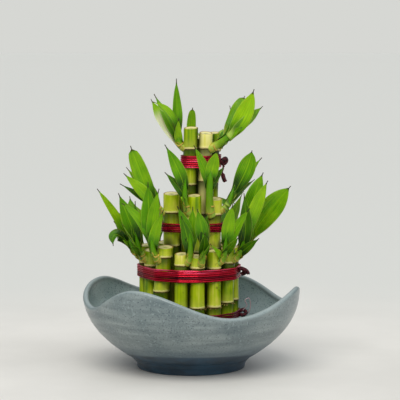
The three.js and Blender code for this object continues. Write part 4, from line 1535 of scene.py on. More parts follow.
@dataclass(frozen=True)
class WireTies:
    """The four ties with their knots. A wire end's route is out, sideways and up from its knot."""

    strand_radius: float = 0.66
    wander: float = 0.9
    band_steps: int = 220
    end_steps: int = 90
    ties: tuple[Tie, ...] = (
        Tie("tie_bottom", 40.3, 5.5, -4, (Tier.LOWER,), 4, 1.8),
        Tie("tie_lower", 71.8, 9, -16, (Tier.LOWER,), 7),
        Tie("tie_middle", 105, 6.6, -28, (Tier.MIDDLE, Tier.UPPER), 5, 0.55),
        Tie("tie_upper", 152.5, 9.4, 2, (Tier.UPPER,), 7, 0.3),
    )
    ends: tuple[WireEnd, ...] = (
        WireEnd("tie_bottom", "loop", (
            (0.5, 0, 1), (3, 0.5, 2.2), (5.4, 0, 0.2), (3.2, -1, -1.8), (1, -0.5, -1),
        ), 2, 5, 0.75, 0.75),
        WireEnd("tie_bottom", "curl", (
            (3, -1, 2), (6, -2.5, 6), (4.5, -3, 9.5), (7.5, -2, 11), (8.6, -1, 5), (7, 0, -0.5),
        ), 1, 0, 0.0, 0.28, True),
        WireEnd("tie_lower", "loop", (
            (0.5, 0, 0.5), (2.4, -1, 2.6), (5, -1, 2), (5.4, 0.5, -0.6), (3, 1, -1.6),
        ), 3, 5, 0.8, 0.8),
        WireEnd("tie_lower", "tail", (
            (4, 0, 0.4), (6, -0.6, 1.8), (7.6, 0, 0.2), (8.2, 0.4, -1.4),
        ), 2, 3, 0.6, 0.75),
        WireEnd("tie_middle", "loop", (
            (0.5, 0, 0.5), (2.6, -0.6, 2.4), (5, 0, 1), (5.4, 0.6, -1.6), (3, 0.6, -2),
        ), 2, 4, 0.75, 0.75),
        WireEnd("tie_upper", "loop", (
            (0.2, 0, -1.2), (2, -1, 0.6), (4.2, -0.5, 1.8), (4.8, 0.4, 0), (3.4, 0.8, -1.8),
            (1.6, 0.4, -1.6),
        ), 3, 4, 0.8, 0.85),
        WireEnd("tie_upper", "hanging", (
            (2.4, 0, -1.4), (2.6, -0.6, -5), (1.8, -0.6, -8), (2.6, 0, -11),
        ), 2, 5, 0.35, 0.4),
        WireEnd("tie_upper", "tail", ((2.2, 0, -10), (2.9, 0.2, -12.6), (3.9, 0.2, -15)),
                3, 1.5, 0.8, 0.85),
    )

    def build(self, canes: Sequence[Cane], wire: Material, knot: Material,
              pale: Material) -> None:
        """Wind the ties and twist their ends.

        Args:
            canes: All the canes.
            wire: The strands' finish.
            knot: The twisted ends' finish.
            pale: The finish of the thin pale curl of wire, painted pale as a glint.
        """
        winding, twisting = StrandRecipe(), TwistRecipe()
        for seed, tie in enumerate(self.ties):
            held = [cane for cane in canes if cane.tier in tie.tiers]
            pitch = (tie.width - 2 * self.strand_radius) / (tie.strands - 1)
            mesh = winding.grow(line_mesh(tie.name, tie.outline(held), True), wire,
                                Strands=tie.strands, Pitch=pitch * MM,
                                Radius=self.strand_radius * MM, Wander=self.wander * MM,
                                Steps=self.band_steps, Seed=seed, Dulled=tie.painted_tie_shade)
            present(f"{tie.name}_strands", mesh, [tie.name])
            start, out = tie.edge(held)
            side = np.array([-out[1], out[0], 0.0])
            for end in (end for end in self.ends if end.tie == tie.name):
                path = [start + out * a + side * b + np.array([0.0, 0.0, c])
                        for a, b, c in rounded(end.route)]
                mesh = twisting.grow(line_mesh(end.name, path), pale if end.pale else knot,
                                     Strands=end.strands, Turns=float(end.turns),
                                     Spread=end.spread * MM, Radius=end.radius * MM,
                                     Steps=self.end_steps)
                present(f"{tie.name}_{end.name}", mesh, [tie.name])


def rounded(corners: Sequence[Place], steps: int = 10) -> list[np.ndarray]:
    """Return a smooth line through the corners of a route.

    Args:
        corners: The places that it passes.
        steps: How many points each stretch gets.

    Returns:
        Its points.
    """
    ends = [np.array(corner, float) for corner in corners]
    padded = [2 * ends[0] - ends[1], *ends, 2 * ends[-1] - ends[-2]]
    line = []
    for a, b, c, d in zip(padded, padded[1:], padded[2:], padded[3:]):
        for k in range(steps):
            t = k / steps
            line.append(0.5 * (2 * b + (c - a) * t + (2 * a - 5 * b + 4 * c - d) * t ** 2
                               + (3 * b - a - 3 * c + d) * t ** 3))
    return [*line, ends[-1]]


# Shoots


FRONT = -90.0


class BladeForm(Enum):
    """A blade's outline: the belly's place along it and how slowly it narrows to its point."""

    LANCE = (1.35, 0.85)
    BROAD = (1.5, 0.72)
    STRAP = (1.9, 0.28)


@dataclass(frozen=True)
class Leaf:
    """One blade: its tip, its width, and where it starts on the stem, from 0 to 1.

    "face" is the azimuth that its upper side looks to. "bow" is how far it first follows the stem,
    or "bend" the place that it bends towards. "pale" is the part of it that is pale, "light" how
    much lighter its green is than its neighbours', partly its own green and partly painted light
    and shade, and "heart" how much darker it is at its foot.
    """

    tip: Place
    width: float
    start: float
    face: float = FRONT
    bow: float = 8.0
    bend: Optional[Place] = None
    form: BladeForm = BladeForm.LANCE
    pale: float = 0.14
    light: float = 0.0
    heart: float = 1.0


@dataclass(frozen=True)
class Shoot:
    """A leafy shoot: the cane that it grows from, where, its stem's crown and its leaves."""

    name: str
    cane: str
    height: float
    azimuth: float
    crown: Place
    leaves: tuple[Leaf, ...]
    girth: float = 2.9


@dataclass(frozen=True)
class Curve:
    """A curve that starts at one place, bends towards a second and ends at a third."""

    start: np.ndarray
    middle: np.ndarray
    end: np.ndarray

    def point(self, part: float) -> np.ndarray:
        """Return the place at a part of the curve."""
        left = 1 - part
        return left * left * self.start + 2 * left * part * self.middle + part * part * self.end

    def tangent(self, part: float) -> np.ndarray:
        """Return the direction at a part of the curve."""
        near = 0.0001
        return unit(self.point(min(1.0, part + near)) - self.point(max(0.0, part - near)))


def turned(place: np.ndarray, foot: np.ndarray, degrees: float) -> np.ndarray:
    """Return a place turned about the upright line through a foot.

    Args:
        place: The place.
        foot: The foot.
        degrees: How far it is turned to the left.

    Returns:
        The turned place.
    """
    angle = math.radians(degrees)
    x, y, z = place - foot
    return foot + np.array([x * math.cos(angle) - y * math.sin(angle),
                            x * math.sin(angle) + y * math.cos(angle), z])


@dataclass(frozen=True)
class BladeShape:
    """What every blade shares: its outline, its section and how it clasps the stem.

    "fold" and "clasp" are half the angle, in radians, that its section bends through on the free
    blade and at its foot.
    """

    foot_half_width: float = 2.6
    body_part: float = 0.95
    spike: float = 0.55
    spike_taper: float = 0.4
    lift: float = 0.5
    fold: float = 0.44
    clasp: float = 1.6
    clasp_slack: float = 0.2
    clasp_taper: float = 0.22
    clasp_part: float = 0.34
    thickness: float = 0.55
    edge_thickness: float = 0.14
    tip_thinning: float = 0.4
    wave: float = 0.42
    wave_width: float = 10.0
    wave_count: float = 1.9
    wave_shift: float = 0.35
    groove: float = 0.22
    groove_width: float = 0.16
    rows: int = 26
    end_parts: Pair = (0.985, 1.0)
    columns: int = 9
    spread_rows: int = 12
    spread_columns: int = 5

    def half_width(self, leaf: Leaf, part: float) -> float:
        """Return half the blade's width: a narrow foot, a belly and a fine point.

        Args:
            leaf: The blade.
            part: The part of its length.

        Returns:
            Half the width in millimetres.
        """
        place, pointedness = leaf.form.value
        body = min(1.0, part / self.body_part)
        belly = max(0.0, math.sin(math.pi * body ** place)) ** pointedness
        return self.foot_half_width * (1 - part) ** 2 + leaf.width / 2 * belly

    def spine(self, leaf: Leaf, stem: Curve, turn: float = 0.0) -> Curve:
        """Return the line that the blade runs along, turned about its foot.

        Args:
            leaf: The blade.
            stem: The stem that it leaves.
            turn: Degrees of turn.

        Returns:
            The spine.
        """
        foot = stem.point(leaf.start)
        tip = np.array(leaf.tip, float)
        bend = (np.array(leaf.bend, float) if leaf.bend
                else foot + leaf.bow * stem.tangent(leaf.start))
        return Curve(foot, turned(bend, foot, turn), turned(tip, foot, turn))

    def axes(self, leaf: Leaf, spine: Curve, part: float) -> tuple[np.ndarray, ...]:
        """Return how the blade lies at a part of its length.

        Args:
            leaf: The blade.
            spine: The line that it runs along.
            part: The part of its length.

        Returns:
            Its centre, its edge-to-edge direction and its upper direction.
        """
        face = math.radians(leaf.face)
        along = spine.tangent(part)
        across = unit(np.cross([math.cos(face), math.sin(face), self.lift], along))
        return spine.point(part), across, unit(np.cross(along, across))

    def spread(self, leaf: Leaf, spine: Curve) -> np.ndarray:
        """Return points spread over a blade, for keeping it clear of its neighbours.

        Args:
            leaf: The blade.
            spine: The line that it runs along.

        Returns:
            The points, one in each row.
        """
        points = []
        for row in range(1, self.spread_rows + 1):
            part = row / self.spread_rows
            centre, across, _ = self.axes(leaf, spine, part)
            half = self.half_width(leaf, part)
            points += [centre + across * half * (2 * column / (self.spread_columns - 1) - 1)
                       for column in range(self.spread_columns)]
        return np.array(points)

    def rings(self, leaf: Leaf, spine: Curve, girth: float,
              seed: float) -> tuple[list[np.ndarray], list[float], list[float]]:
        """Return the blade's skin as rings that run over its upper side and back under it.

        Args:
            leaf: The blade.
            spine: The line that it runs along.
            girth: The radius of the stem's foot.
            seed: A number that sets its own waves.

        Returns:
            The rings, each ring's part of the length, and each point's side from -1 to 1.
        """
        sides = [2 * column / (self.columns - 1) - 1 for column in range(self.columns)]
        parts = [row / self.rows for row in range(self.rows)] + list(self.end_parts)
        grip = girth * (1 - self.clasp_taper * leaf.start) + self.clasp_slack
        rings = []
        for part in parts:
            centre, across, up = self.axes(leaf, spine, part)
            hug = 1 - smooth(part / self.clasp_part)
            half = max(self.half_width(leaf, part), self.spike * (1 - self.spike_taper * part))
            half = half * (1 - hug) + grip * self.clasp * hug
            bend = self.fold + (self.clasp - self.fold) * hug
            centre = centre - up * grip * hug
            ripple = self.wave * min(1.0, leaf.width / self.wave_width)
            ripple *= smooth(part / 0.3) * smooth((1 - part) / 0.15)
            groove = self.groove * smooth(part / 0.2) * smooth((1 - part) / 0.2)
            upper, lower = [], []
            for side in sides:
                wave = math.sin(math.tau * (self.wave_count * part + self.wave_shift * side) + seed)
                rise = half / bend * (1 - math.cos(bend * side)) + ripple * side * side * wave
                rise -= groove * math.exp(-(side / self.groove_width) ** 2)
                place = centre + across * half / bend * math.sin(bend * side) + up * rise
                body = self.thickness - self.edge_thickness
                thick = self.edge_thickness + body * (1 - side * side)
                thick *= self.tip_thinning + (1 - self.tip_thinning) * smooth((1 - part) / 0.1)
                upper.append(place + up * thick / 2)
                lower.append(place - up * thick / 2)
            rings.append(np.array(upper[::-1] + lower))
        return rings, parts, sides[::-1] + sides


@dataclass(frozen=True)
class StemShape:
    """What every stem shares: its taper, swollen foot, collars and rolled young leaf."""

    taper: float = 0.6
    elbow_out: float = 3.5
    elbow_rise: float = 2.0
    buried: float = 1.4
    swelling: float = 0.35
    swelling_reach: float = 1.5
    collar: float = 0.1
    collar_length: float = 0.1
    collar_rise: float = 0.08
    collar_fall: float = 0.02
    spear: float = 9.0
    spear_point: float = 0.1
    spear_steps: int = 7
    sides: int = 16
    steps: int = 44

    def curve(self, shoot: Shoot, cane: Cane) -> Curve:
        """Return the stem's line, which leaves the cane nearly level and bends up at an elbow.

        Args:
            shoot: The shoot.
            cane: The cane that it grows from.

        Returns:
            The line.
        """
        axis = cane.centre(shoot.height)
        out = math.radians(shoot.azimuth)
        reach = cane.diameter / 2 + self.elbow_out
        elbow = np.array([axis[0] + reach * math.cos(out), axis[1] + reach * math.sin(out),
                          shoot.height + self.elbow_rise])
        return Curve(axis, elbow, np.array(shoot.crown, float))

    def rings(self, shoot: Shoot, cane: Cane, stem: Curve) -> tuple[list[np.ndarray], list[float]]:
        """Return the stem's skin as rings, ended by a rolled young leaf.

        Args:
            shoot: The shoot.
            cane: Its cane.
            stem: The stem's line.

        Returns:
            The rings and each one's part of the stem.
        """
        rings, parts = [], []
        axis = cane.centre(shoot.height)
        for step in range(self.steps + 1):
            part = step / self.steps
            centre, along = stem.point(part), stem.tangent(part)
            out = float(np.linalg.norm((centre - axis)[:2])) - cane.diameter / 2
            if out < -self.buried:
                continue
            girth = shoot.girth * (1 - (1 - self.taper) * part)
            girth += self.swelling * math.exp(-(max(out, 0.0) / self.swelling_reach) ** 2)
            for leaf in shoot.leaves:
                beyond = part - leaf.start
                girth += self.collar * (smooth((beyond + self.collar_length) / self.collar_rise)
                                        - smooth(beyond / self.collar_fall))
            rings.append(self.ring(centre, along, girth))
            parts.append(part)
        end, along = stem.point(1.0), stem.tangent(1.0)
        for step in range(1, self.spear_steps + 1):
            part = step / self.spear_steps
            girth = shoot.girth * self.taper * (1 - part) + self.spear_point
            rings.append(self.ring(end + along * self.spear * part, along, girth))
            parts.append(1.0 + part)
        return rings, parts

    def ring(self, centre: np.ndarray, along: np.ndarray, girth: float) -> np.ndarray:
        """Return one ring of the stem's skin.

        Args:
            centre: The ring's centre.
            along: The stem's direction there.
            girth: The stem's radius there.

        Returns:
            The ring's points, one in each row.
        """
        across = unit(np.array([along[1], -along[0], 0.0]))
        up = unit(np.cross(along, across))
        angles = [math.tau * k / self.sides for k in range(self.sides)]
        return np.array([centre + girth * (across * math.cos(a) + up * math.sin(a))
                         for a in angles])


@dataclass(frozen=True)
class BackShoots:
    """The rule of the shoots at the back: straight out, their leaves fanned nearer straight back.

    Each leaf of the fan has its turn to the left, its lean from upright, its length, its width and
    its place on the stem.
    """

    numbers: range = range(2, 8)
    height: float = 80.0
    straight_back: float = 90.0
    heading_part: float = 0.75
    reach: float = 8.0
    rise: float = 15.0
    sway: float = 9.0
    nod: float = 5.0
    bow_part: float = 0.28
    fan: tuple[tuple[float, float, float, float, float], ...] = (
        (-18, 30, 32, 11, 0.95), (34, 40, 30, 10, 0.8), (-58, 46, 27, 9, 0.65),
        (8, 62, 25, 7.5, 0.5),
    )

    def shoot(self, number: int, cane: Cane, ring_centre: Pair) -> Shoot:
        """Return the shoot of a cane at the back.

        Args:
            number: The cane's number.
            cane: The cane.
            ring_centre: The middle of the lower ring.

        Returns:
            The shoot.
        """
        x, y = cane.foot
        azimuth = math.degrees(math.atan2(y - ring_centre[1], x - ring_centre[0]))
        out = math.radians(azimuth)
        heading = self.straight_back + self.heading_part * (azimuth - self.straight_back)
        height = self.height + math.sin(2.7 * number)
        reach = cane.diameter / 2 + self.reach
        crown = (x + reach * math.cos(out), y + reach * math.sin(out), height + self.rise)
        leaves = []
        for k, (turn, lean, length, width, start) in enumerate(self.fan):
            way = math.radians(heading + turn + self.sway * math.sin(4.1 * number + 2.3 * k))
            tilt = math.radians(lean + self.nod * math.cos(3.3 * number + k))
            across = length * math.sin(tilt)
            tip = (crown[0] + across * math.cos(way), crown[1] + across * math.sin(way),
                   crown[2] + length * math.cos(tilt))
            leaves.append(Leaf(tip, width, start, heading + turn + 180, self.bow_part * length))
        return Shoot(f"lower_{number}", f"lower_{number}", height, azimuth, crown, tuple(leaves))


@dataclass(frozen=True)
class ShootBank:
    """All the shoots. Those at the back of the lower ring follow one rule, the others their rows.

    Each dry scale at a stem's foot has its place on the stem, its length and its turn.
    """

    leaf_clearance: float = 2.5
    cane_clearance: float = 1.0
    turns: tuple[float, ...] = (0, 6, -6, 12, -12, 18, -18, 25, -25, 33, -33, 42, -42)
    worth_turning: float = 0.01
    stem_samples: int = 8
    stem_inset: float = 1.9
    tone_swing: float = 0.12
    blade: BladeShape = BladeShape()
    stem: StemShape = StemShape()
    back: BackShoots = BackShoots()
    scale_width: float = 4.2
    dry_scales: tuple[tuple[float, float, float], ...] = ((0.4, 7.5, 0.0), (0.55, 6.0, 150.0))

    def room(self, points: np.ndarray, others: np.ndarray, canes: Sequence[Cane]) -> float:
        """Return how far a blade stays from the canes and from other shoots, less what it needs.

        Args:
            points: Points spread over the blade.
            others: The points of the shoots before it.
            canes: All the canes.

        Returns:
            The room in millimetres, below 0 where it is too close.
        """
        least = min(float(cane.distance(points).min()) for cane in canes) - self.cane_clearance
        if len(others):
            gaps = np.linalg.norm(points[:, None, :] - others[None, :, :], axis=2)
            least = min(least, float(gaps.min()) - self.leaf_clearance)
        return least

    def clear_spine(self, leaf: Leaf, stem: Curve, others: np.ndarray,
                    canes: Sequence[Cane]) -> tuple[Curve, np.ndarray]:
        """Turn a blade about its foot by the smallest step that brings it clear.

        Args:
            leaf: The blade.
            stem: Its stem.
            others: The points of the shoots before it.
            canes: All the canes.

        Returns:
            The blade's spine and its points.
        """
        best: Optional[tuple[float, Curve, np.ndarray]] = None
        for turn in self.turns:
            spine = self.blade.spine(leaf, stem, turn)
            points = self.blade.spread(leaf, spine)
            space = self.room(points, others, canes)
            if best is None or space > best[0] + self.worth_turning:
                best = (space, spine, points)
            if space >= 0:
                break
        return best[1], best[2]

    def tone(self, shoot: Shoot, k: int) -> float:
        """Return how light a leaf's green is: more so higher up, and a little its own."""
        base = {"upper": 0.5, "middle": 0.38, "lower": 0.36}[shoot.cane.split("_")[0]]
        return base + self.tone_swing * math.sin(7.7 * k + 3.1 * shoot.height + shoot.azimuth)

    def stem_points(self, shoot: Shoot, stem: Curve) -> np.ndarray:
        """Return points on a stem's outer half, for keeping other shoots' leaves clear of it.

        Args:
            shoot: The shoot.
            stem: Its stem's line.

        Returns:
            The points on the two edges that the front shows, one in each row.
        """
        inset = max(0.0, shoot.girth - self.stem_inset)
        places = [stem.point(k / self.stem_samples)
                  for k in range(self.stem_samples // 2, self.stem_samples + 1)]
        return np.array([place + (side * inset, 0, 0) for place in places for side in (-1, 1)])

    def scales(self, shoot: Shoot, stem: Curve) -> list[tuple[Leaf, Curve]]:
        """Return the dry scales that clasp the stem's foot, each with its spine.

        Args:
            shoot: The shoot.
            stem: Its stem's line.

        Returns:
            The scales and their spines.
        """
        made = []
        for start, length, turn in self.dry_scales:
            foot, along = stem.point(start), stem.tangent(start)
            tip = foot + along * length
            leaf = Leaf(tuple(tip), self.scale_width, start, shoot.azimuth + 180 + turn)
            made.append((leaf, Curve(foot, foot + along * length * 0.5, tip)))
        return made

    def build_shoot(self, shoot: Shoot, cane: Cane, blades: Sequence[tuple[Leaf, Curve]],
                    stem: Curve, finish: Material) -> bpy.types.Object:
        """Join a shoot's stem, scales and blades into one piece.

        Args:
            shoot: The shoot.
            cane: The cane that it grows from.
            blades: Its leaves, each with its spine.
            stem: Its stem's line.
            finish: Its finish.

        Returns:
            The piece.
        """
        blade_kind, stem_kind, scale_kind = 0.0, 1.0, 2.0
        builder = SkinBuilder("along", "across", "tone", "under", "kind", "pale", "heart")
        rings, parts = self.stem.rings(shoot, cane, stem)
        count = len(rings[0])
        none, full = [[0.0] * count for _ in rings], [[1.0] * count for _ in rings]
        builder.skin(rings, along=[[part] * count for part in parts], across=none, tone=none,
                     under=none, kind=[[stem_kind] * count for _ in rings], pale=full, heart=full)
        count = 2 * self.blade.columns
        under = [0.0] * self.blade.columns + [1.0] * self.blade.columns
        kinds = [(leaf, spine, blade_kind) for leaf, spine in blades]
        kinds += [(leaf, spine, scale_kind) for leaf, spine in self.scales(shoot, stem)]
        for leaf, spine, kind in kinds:
            seed = 2.3 * len(builder.faces) + shoot.height
            rings, parts, sides = self.blade.rings(leaf, spine, shoot.girth, seed)
            even = {"tone": self.tone(shoot, len(builder.faces) % 97) + leaf.light, "kind": kind,
                    "pale": leaf.pale, "heart": leaf.heart}
            builder.skin(rings, along=[[part] * count for part in parts],
                         across=[sides for _ in parts], under=[under for _ in parts],
                         **{label: [[value] * count for _ in parts]
                            for label, value in even.items()})
        mesh = builder.mesh(f"leafy_shoot_{shoot.name}", finish)
        return present(f"leafy_shoot_{shoot.name}", mesh, [f"shoot_{shoot.name}"])

    def build(self, bundle: CaneBundle, canes: Sequence[Cane],
              finish: Material) -> None:
        """Grow every shoot clear of those before it.

        Args:
            bundle: The cane bundle's sizes.
            canes: All the canes.
            finish: The leaves' finish.
        """
        by_name = {cane.name: cane for cane in canes}
        shoots = list(SHOOTS)
        for number in self.back.numbers:
            shoots.append(self.back.shoot(number, by_name[f"lower_{number}"], bundle.ring_centre))
        grown = np.empty((0, 3))
        for shoot in shoots:
            cane = by_name[shoot.cane]
            stem = self.stem.curve(shoot, cane)
            own = [self.stem_points(shoot, stem)]
            blades = []
            for leaf in shoot.leaves:
                spine, points = self.clear_spine(leaf, stem, grown, canes)
                blades.append((leaf, spine))
                own.append(points)
            grown = np.vstack([grown, *own])
            self.build_shoot(shoot, cane, blades, stem, finish)


# A leaf's "light" is partly painted light and shade: leaves in shadow among the others are painted
# darker, and some well lit ones lighter.
SHOOTS: tuple[Shoot, ...] = (
    Shoot("upper_1", "upper_1", 160.5, 186, (-9.5, -4, 170), (
        Leaf((-10.7, 2, 213), 7.5, 0.95, -60, bow=12, light=-0.1),
        Leaf((-28.6, -9, 196.5), 5, 0.85, -50, bend=(-9.5, -9, 191), light=-0.1),
        Leaf((-29.5, 3, 198), 10, 0.6, -60, bend=(-19, 0, 176), pale=0.8),
        Leaf((-27.3, 9, 201.5), 7.5, 0.75, -70, bow=8),
        Leaf((-8.8, -10, 184.4), 5, 0.5, bow=5),
    )),
    Shoot("upper_2", "upper_2", 161, -24, (28.5, -9.5, 171.5), (
        Leaf((46, -8, 205.5), 12.5, 0.9, bow=14, form=BladeForm.BROAD, pale=0.3,
             light=0.05, heart=0.8),
        Leaf((52.5, -3, 192.8), 9, 0.95, 110, bow=14, pale=0.3, light=-0.15),
        Leaf((39.5, -1, 200.3), 10.5, 0.85, -110, bend=(32, -5, 185), form=BladeForm.STRAP,
             pale=0.35, heart=0.6),
        Leaf((37, -15, 178), 6, 0.75, -130, bow=9, light=-0.15),
        Leaf((28.5, 4, 193), 4, 0.5, -60, bow=16, light=-0.3),
    ), 3.7),
    Shoot("upper_3", "upper_3", 159, 48, (23, 14, 167), (
        Leaf((37, 26, 182), 10, 0.95, 210, bow=8),
        Leaf((24, 38, 174), 9, 0.8, 270, bow=8),
        Leaf((40, 16, 175), 8, 0.6, 200, bow=6),
    )),
    Shoot("upper_4", "upper_4", 158, 125, (0, 14.5, 168), (
        Leaf((1.2, 15, 191.2), 6.2, 0.95, bow=8, form=BladeForm.STRAP, light=-0.1),
        Leaf((5, 36, 172), 10, 0.8, 270, bow=8),
        Leaf((-4, 32, 166), 8, 0.6, 290, bow=5),
    )),
    Shoot("middle_1", "middle_1", 114, 192, (-28, -12, 124), (
        Leaf((-44.2, -8, 164.2), 11.5, 0.95, bow=10, form=BladeForm.STRAP, light=0.15),
        Leaf((-47.6, -1, 148), 6, 0.85, -60, bow=9),
        Leaf((-49, -15, 144.6), 8.5, 0.75, -80, bow=9, light=0.1),
        Leaf((-52, -9, 136.5), 5, 0.6, -80, bow=7, light=-0.3),
    )),
    Shoot("middle_2", "middle_2", 114, 208, (-4.5, -22, 132.5), (
        Leaf((-19, -22, 166), 9, 0.95, bow=10),
        Leaf((-17.5, -15, 146), 6, 0.8, bow=5, light=-0.35),
        Leaf((-10.2, -20, 137), 3.5, 0.65, -60, bow=4, light=0.3),
        Leaf((-7.5, -28, 129), 5, 0.4, -30, bow=5, light=-0.2),
    )),
    Shoot("middle_3", "middle_3", 111, 238, (13.8, -20, 140), (
        Leaf((2, -21, 165.4), 7, 0.85, bow=10),
        Leaf((19, -22, 161.7), 9, 0.95, bow=7, form=BladeForm.BROAD),
        Leaf((24.5, -16, 150), 5, 0.85, -70, bow=5, light=-0.3),
    ), 3.7),
    Shoot("middle_4", "middle_3", 115, -6, (29, -12.5, 127), (
        Leaf((44.4, -13, 161.2), 12.5, 0.95, bend=(42, -13, 146), form=BladeForm.BROAD,
             light=-0.2),
        Leaf((52, -5, 155.4), 5.5, 0.8, -60, bow=17),
        Leaf((46.9, -3, 139.2), 6, 0.65, 120, bow=8, light=-0.45),
        Leaf((39.3, 5, 129.7), 7, 0.5, 130, bow=5),
    )),
    Shoot("middle_5", "middle_4", 115, 85, (11, 29, 127), (
        Leaf((15, 42, 163), 10, 0.95, 260, bow=10),
        Leaf((19, 54, 150), 9.5, 0.85, 250, bow=8),
        Leaf((3, 54, 142), 9, 0.7, 280, bow=7),
        Leaf((33, 34, 118), 8, 0.5, 220, bow=5),
    )),
    Shoot("middle_6", "middle_5", 117, 100, (-5, 28, 128), (
        Leaf((-2, 40, 164), 10, 0.95, 270, bow=10),
        Leaf((-14, 42, 150), 9, 0.85, 300, bow=8),
        Leaf((-16, 50, 136), 8.5, 0.65, 310, bow=6),
    )),
    Shoot("middle_7", "middle_6", 111, 165, (-25, 9, 119), (
        Leaf((-38, 13, 146), 8.5, 0.95, -50, bow=7),
        Leaf((-34, 32, 138), 9, 0.8, -40, bow=7),
        Leaf((-41, 18, 129), 7.5, 0.6, -20, bow=6),
    )),
    Shoot("lower_1", "lower_1", 80, 4, (41, -1.5, 92), (
        Leaf((73, -8, 134.7), 16.5, 0.95, bend=(56, -6, 115.5), form=BladeForm.BROAD,
             pale=0.2, light=0.2,
             heart=0.1),
        Leaf((39.5, 4, 129.7), 8, 0.75, -100, bow=12),
        Leaf((59, 7, 117), 6.5, 0.6, 120, bow=12, light=-0.2),
        Leaf((49.5, 3, 93.5), 4, 0.4, 150, bow=7, light=-0.3),
    )),
    Shoot("lower_14", "lower_14", 80, -28, (37.5, -21, 92), (
        Leaf((52.5, -17, 145.4), 12.5, 0.95, -80, bend=(42.5, -19, 124)),
        Leaf((55.5, -24, 140), 9, 0.85, -70, bend=(45, -25, 120), light=0.1),
        Leaf((38.1, -28, 131.3), 9.5, 0.7, -100, bow=14, light=-0.25),
        Leaf((49, -33, 99), 5.5, 0.5, -60, bow=7, light=-0.2),
    )),
    Shoot("lower_13", "lower_13", 79, -20, (25, -31, 93), (
        Leaf((29.9, -34, 123.8), 8.8, 0.95, bow=9, form=BladeForm.BROAD),
        Leaf((42, -37, 121), 7.5, 0.75, -100, bow=14),
        Leaf((34, -43, 101), 5.5, 0.6, -60, bow=7),
        Leaf((19, -37, 95), 3.5, 0.4, -60, bow=5),
    )),
    Shoot("lower_12", "lower_12", 78, -58, (8.8, -39, 96), (
        Leaf((4.5, -41, 121), 9, 0.95, bow=9, light=-0.2),
        Leaf((11.5, -38, 118), 6.5, 0.8, -80, bow=9, light=-0.35),
        Leaf((10, -50, 105), 7, 0.6, -80, bow=6, light=-0.3),
        Leaf((14, -46, 97), 4.5, 0.5, -50, bow=5, light=-0.15),
    )),
    Shoot("lower_11", "lower_11", 79, -30, (-0.5, -37, 96), (
        Leaf((-9.8, -38, 122.8), 7.6, 0.9, bow=9),
        Leaf((2, -36, 122), 8, 0.8, -100, bow=10, light=-0.1),
        Leaf((-4, -42, 116), 8, 0.65, bow=8, light=-0.35),
    )),
    Shoot("lower_10", "lower_10", 80, 222, (-28, -29, 94), (
        Leaf((-31, -25, 139.3), 11.5, 0.85, bow=16),
        Leaf((-23, -28, 134.5), 8, 0.95, -85, bow=14),
        Leaf((-19.5, -33, 120), 7.5, 0.7, -95, bow=9),
        Leaf((-50, -28, 124), 7, 0.55, -80, bend=(-31, -31, 112), light=0.15),
    )),
    Shoot("lower_9", "lower_9", 79, 205, (-39, -15, 93), (
        Leaf((-53, -13, 130), 11, 0.9, bow=14),
        Leaf((-40.8, -11, 124), 7, 0.75, -70, bow=10, light=-0.35),
        Leaf((-50, -20, 108), 5, 0.6, 200, bow=8),
        Leaf((-46.5, -31, 93.5), 5, 0.45, -60, bow=5, light=-0.2),
    )),
    Shoot("lower_8", "lower_8", 80, 186, (-44, 0, 91), (
        Leaf((-69, -3, 132.3), 5.6, 0.95, -70, bend=(-55, -1, 113), light=0.3),
        Leaf((-57.4, 6, 107.6), 6.5, 0.75, -60, bow=6),
        Leaf((-57, -7, 90.5), 8.5, 0.9, 235, bend=(-60, -4, 107), light=-0.25),
        Leaf((-57, 9, 117), 8, 0.6, -60, bow=8),
        Leaf((-47.8, -8, 91.5), 4.5, 0.35, -60, bow=4),
    )),
)


# Water, floor, light and camera


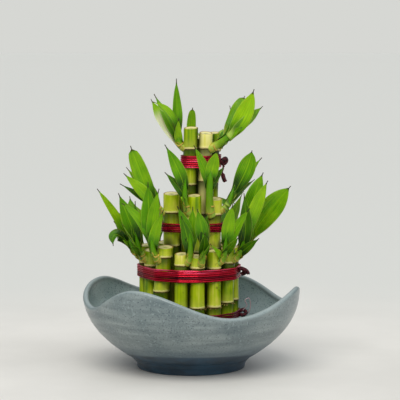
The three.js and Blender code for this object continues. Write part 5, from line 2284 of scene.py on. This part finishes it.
@dataclass(frozen=True)
class Studio:
    """Plain pale floor, soft light and a camera at the photograph's viewing angle."""

    floor_size: float = 90.0
    camera_place: Place = (0.0, -1.25, 0.238)
    camera_aim: Place = (9 / 1700, 1.0, -0.0914)
    lens: float = 153.3
    sensor: float = 36.0
    near: float = 0.05
    suns: tuple[tuple[str, Place, float, float, Colour], ...] = (
        ("key", (-0.24, -0.85, 1.12), 0.8, 2.0, srgb(255, 251, 244)),
        ("fill", (0.75, -0.6, 0.9), 1.2, 0.65, srgb(246, 250, 255)),
    )
    room_low: Colour = srgb(84, 86, 88)
    room_high: Colour = srgb(212, 215, 217)
    room_rise: Pair = (-0.1, 0.9)
    seen: Colour = srgb(214, 215, 211)

    def floor(self, finish: Material) -> None:
        """Lay the floor under the bowl.

        Args:
            finish: The floor's finish.
        """
        half = self.floor_size / 2
        corners = [(-half, -half, 0), (half, -half, 0), (half, half, 0), (-half, half, 0)]
        mesh = bpy.data.meshes.new("floor")
        mesh.from_pydata(corners, [], [(0, 1, 2, 3)])
        mesh.materials.append(finish)
        floor = bpy.data.objects.new("floor", mesh)
        bpy.context.scene.collection.objects.link(floor)

    def light(self) -> None:
        """Hang the soft lights, and light the room evenly."""
        for name, place, angle, power, colour in self.suns:
            lamp = bpy.data.lights.new(name, "SUN")
            lamp.angle = angle
            lamp.energy = power
            lamp.color = colour[:3]
            holder = bpy.data.objects.new(name, lamp)
            holder.location = place
            holder.rotation_euler = (-Vector(place)).to_track_quat("-Z", "Y").to_euler()
            bpy.context.scene.collection.objects.link(holder)
        world = bpy.data.worlds.new("room")
        world.use_nodes = True
        world.node_tree.nodes.clear()
        kit = NodeKit(world.node_tree)
        way = kit.node("ShaderNodeTexCoord").outputs["Generated"]
        rise = kit.node("ShaderNodeSeparateXYZ", {0: way}).outputs[2]
        room = kit.node("ShaderNodeMix", {0: kit.span(rise, *self.room_rise)}, data_type="RGBA")
        room.inputs[6].default_value, room.inputs[7].default_value = self.room_low, self.room_high
        lit = kit.node("ShaderNodeBackground", {"Color": room.outputs[2]}).outputs[0]
        shown = kit.node("ShaderNodeBackground", {"Color": self.seen}).outputs[0]
        direct = kit.node("ShaderNodeLightPath").outputs["Is Camera Ray"]
        both = kit.node("ShaderNodeMixShader", {0: direct, 1: lit, 2: shown}).outputs[0]
        kit.node("ShaderNodeOutputWorld", {"Surface": both})
        bpy.context.scene.world = world
        bpy.context.scene.view_settings.view_transform = "Standard"

    def camera(self) -> None:
        """Set the camera where the photograph was taken from."""
        lens = bpy.data.cameras.new("camera")
        lens.lens = self.lens
        lens.sensor_width = self.sensor
        lens.clip_start = self.near
        camera = bpy.data.objects.new("camera", lens)
        camera.location = self.camera_place
        camera.rotation_euler = Vector(self.camera_aim).to_track_quat("-Z", "Y").to_euler()
        bpy.context.scene.collection.objects.link(camera)
        bpy.context.scene.camera = camera


def dress_water(finish: Material) -> None:
    """Give the water's own solid its finish.

    Args:
        finish: The water's finish.
    """
    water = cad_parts["water"]
    for held in water.material_slots:
        held.material = finish
    LOG.info("water: dressed")


def main() -> None:
    """Build the object and its studio."""
    logging.basicConfig(level=logging.INFO, format="%(message)s")
    studio = Studio()
    studio.camera()
    studio.floor(FloorFinish().material())
    studio.light()
    Bowl().build(GlazeFinish().material())
    dress_water(WaterFinish().material())
    bundle = CaneBundle()
    canes = bundle.build(CaneFinish().material())
    RootFringe().build(canes, FibreFinish().material())
    # The knots' wire is painted a darker maroon than the band: partly painted shade on the twisted
    # ends.
    knot = WireFinish("knot_wire", srgb(84, 16, 32), srgb(34, 8, 14), srgb(170, 60, 84), 0.4, 0.4)
    # Painted glint: the thin curl at the bottom knot is painted pale where a glint shows on the
    # wire.
    pale = WireFinish("pale_wire_painted_glint", srgb(216, 186, 194), srgb(180, 140, 150), srgb(240, 228, 230),
                      0.3, 0.1)
    WireTies().build(canes, WireFinish().material(), knot.material(), pale.material())
    ShootBank().build(bundle, canes, LeafFinish().material())


if __name__ == "__main__":
    main()
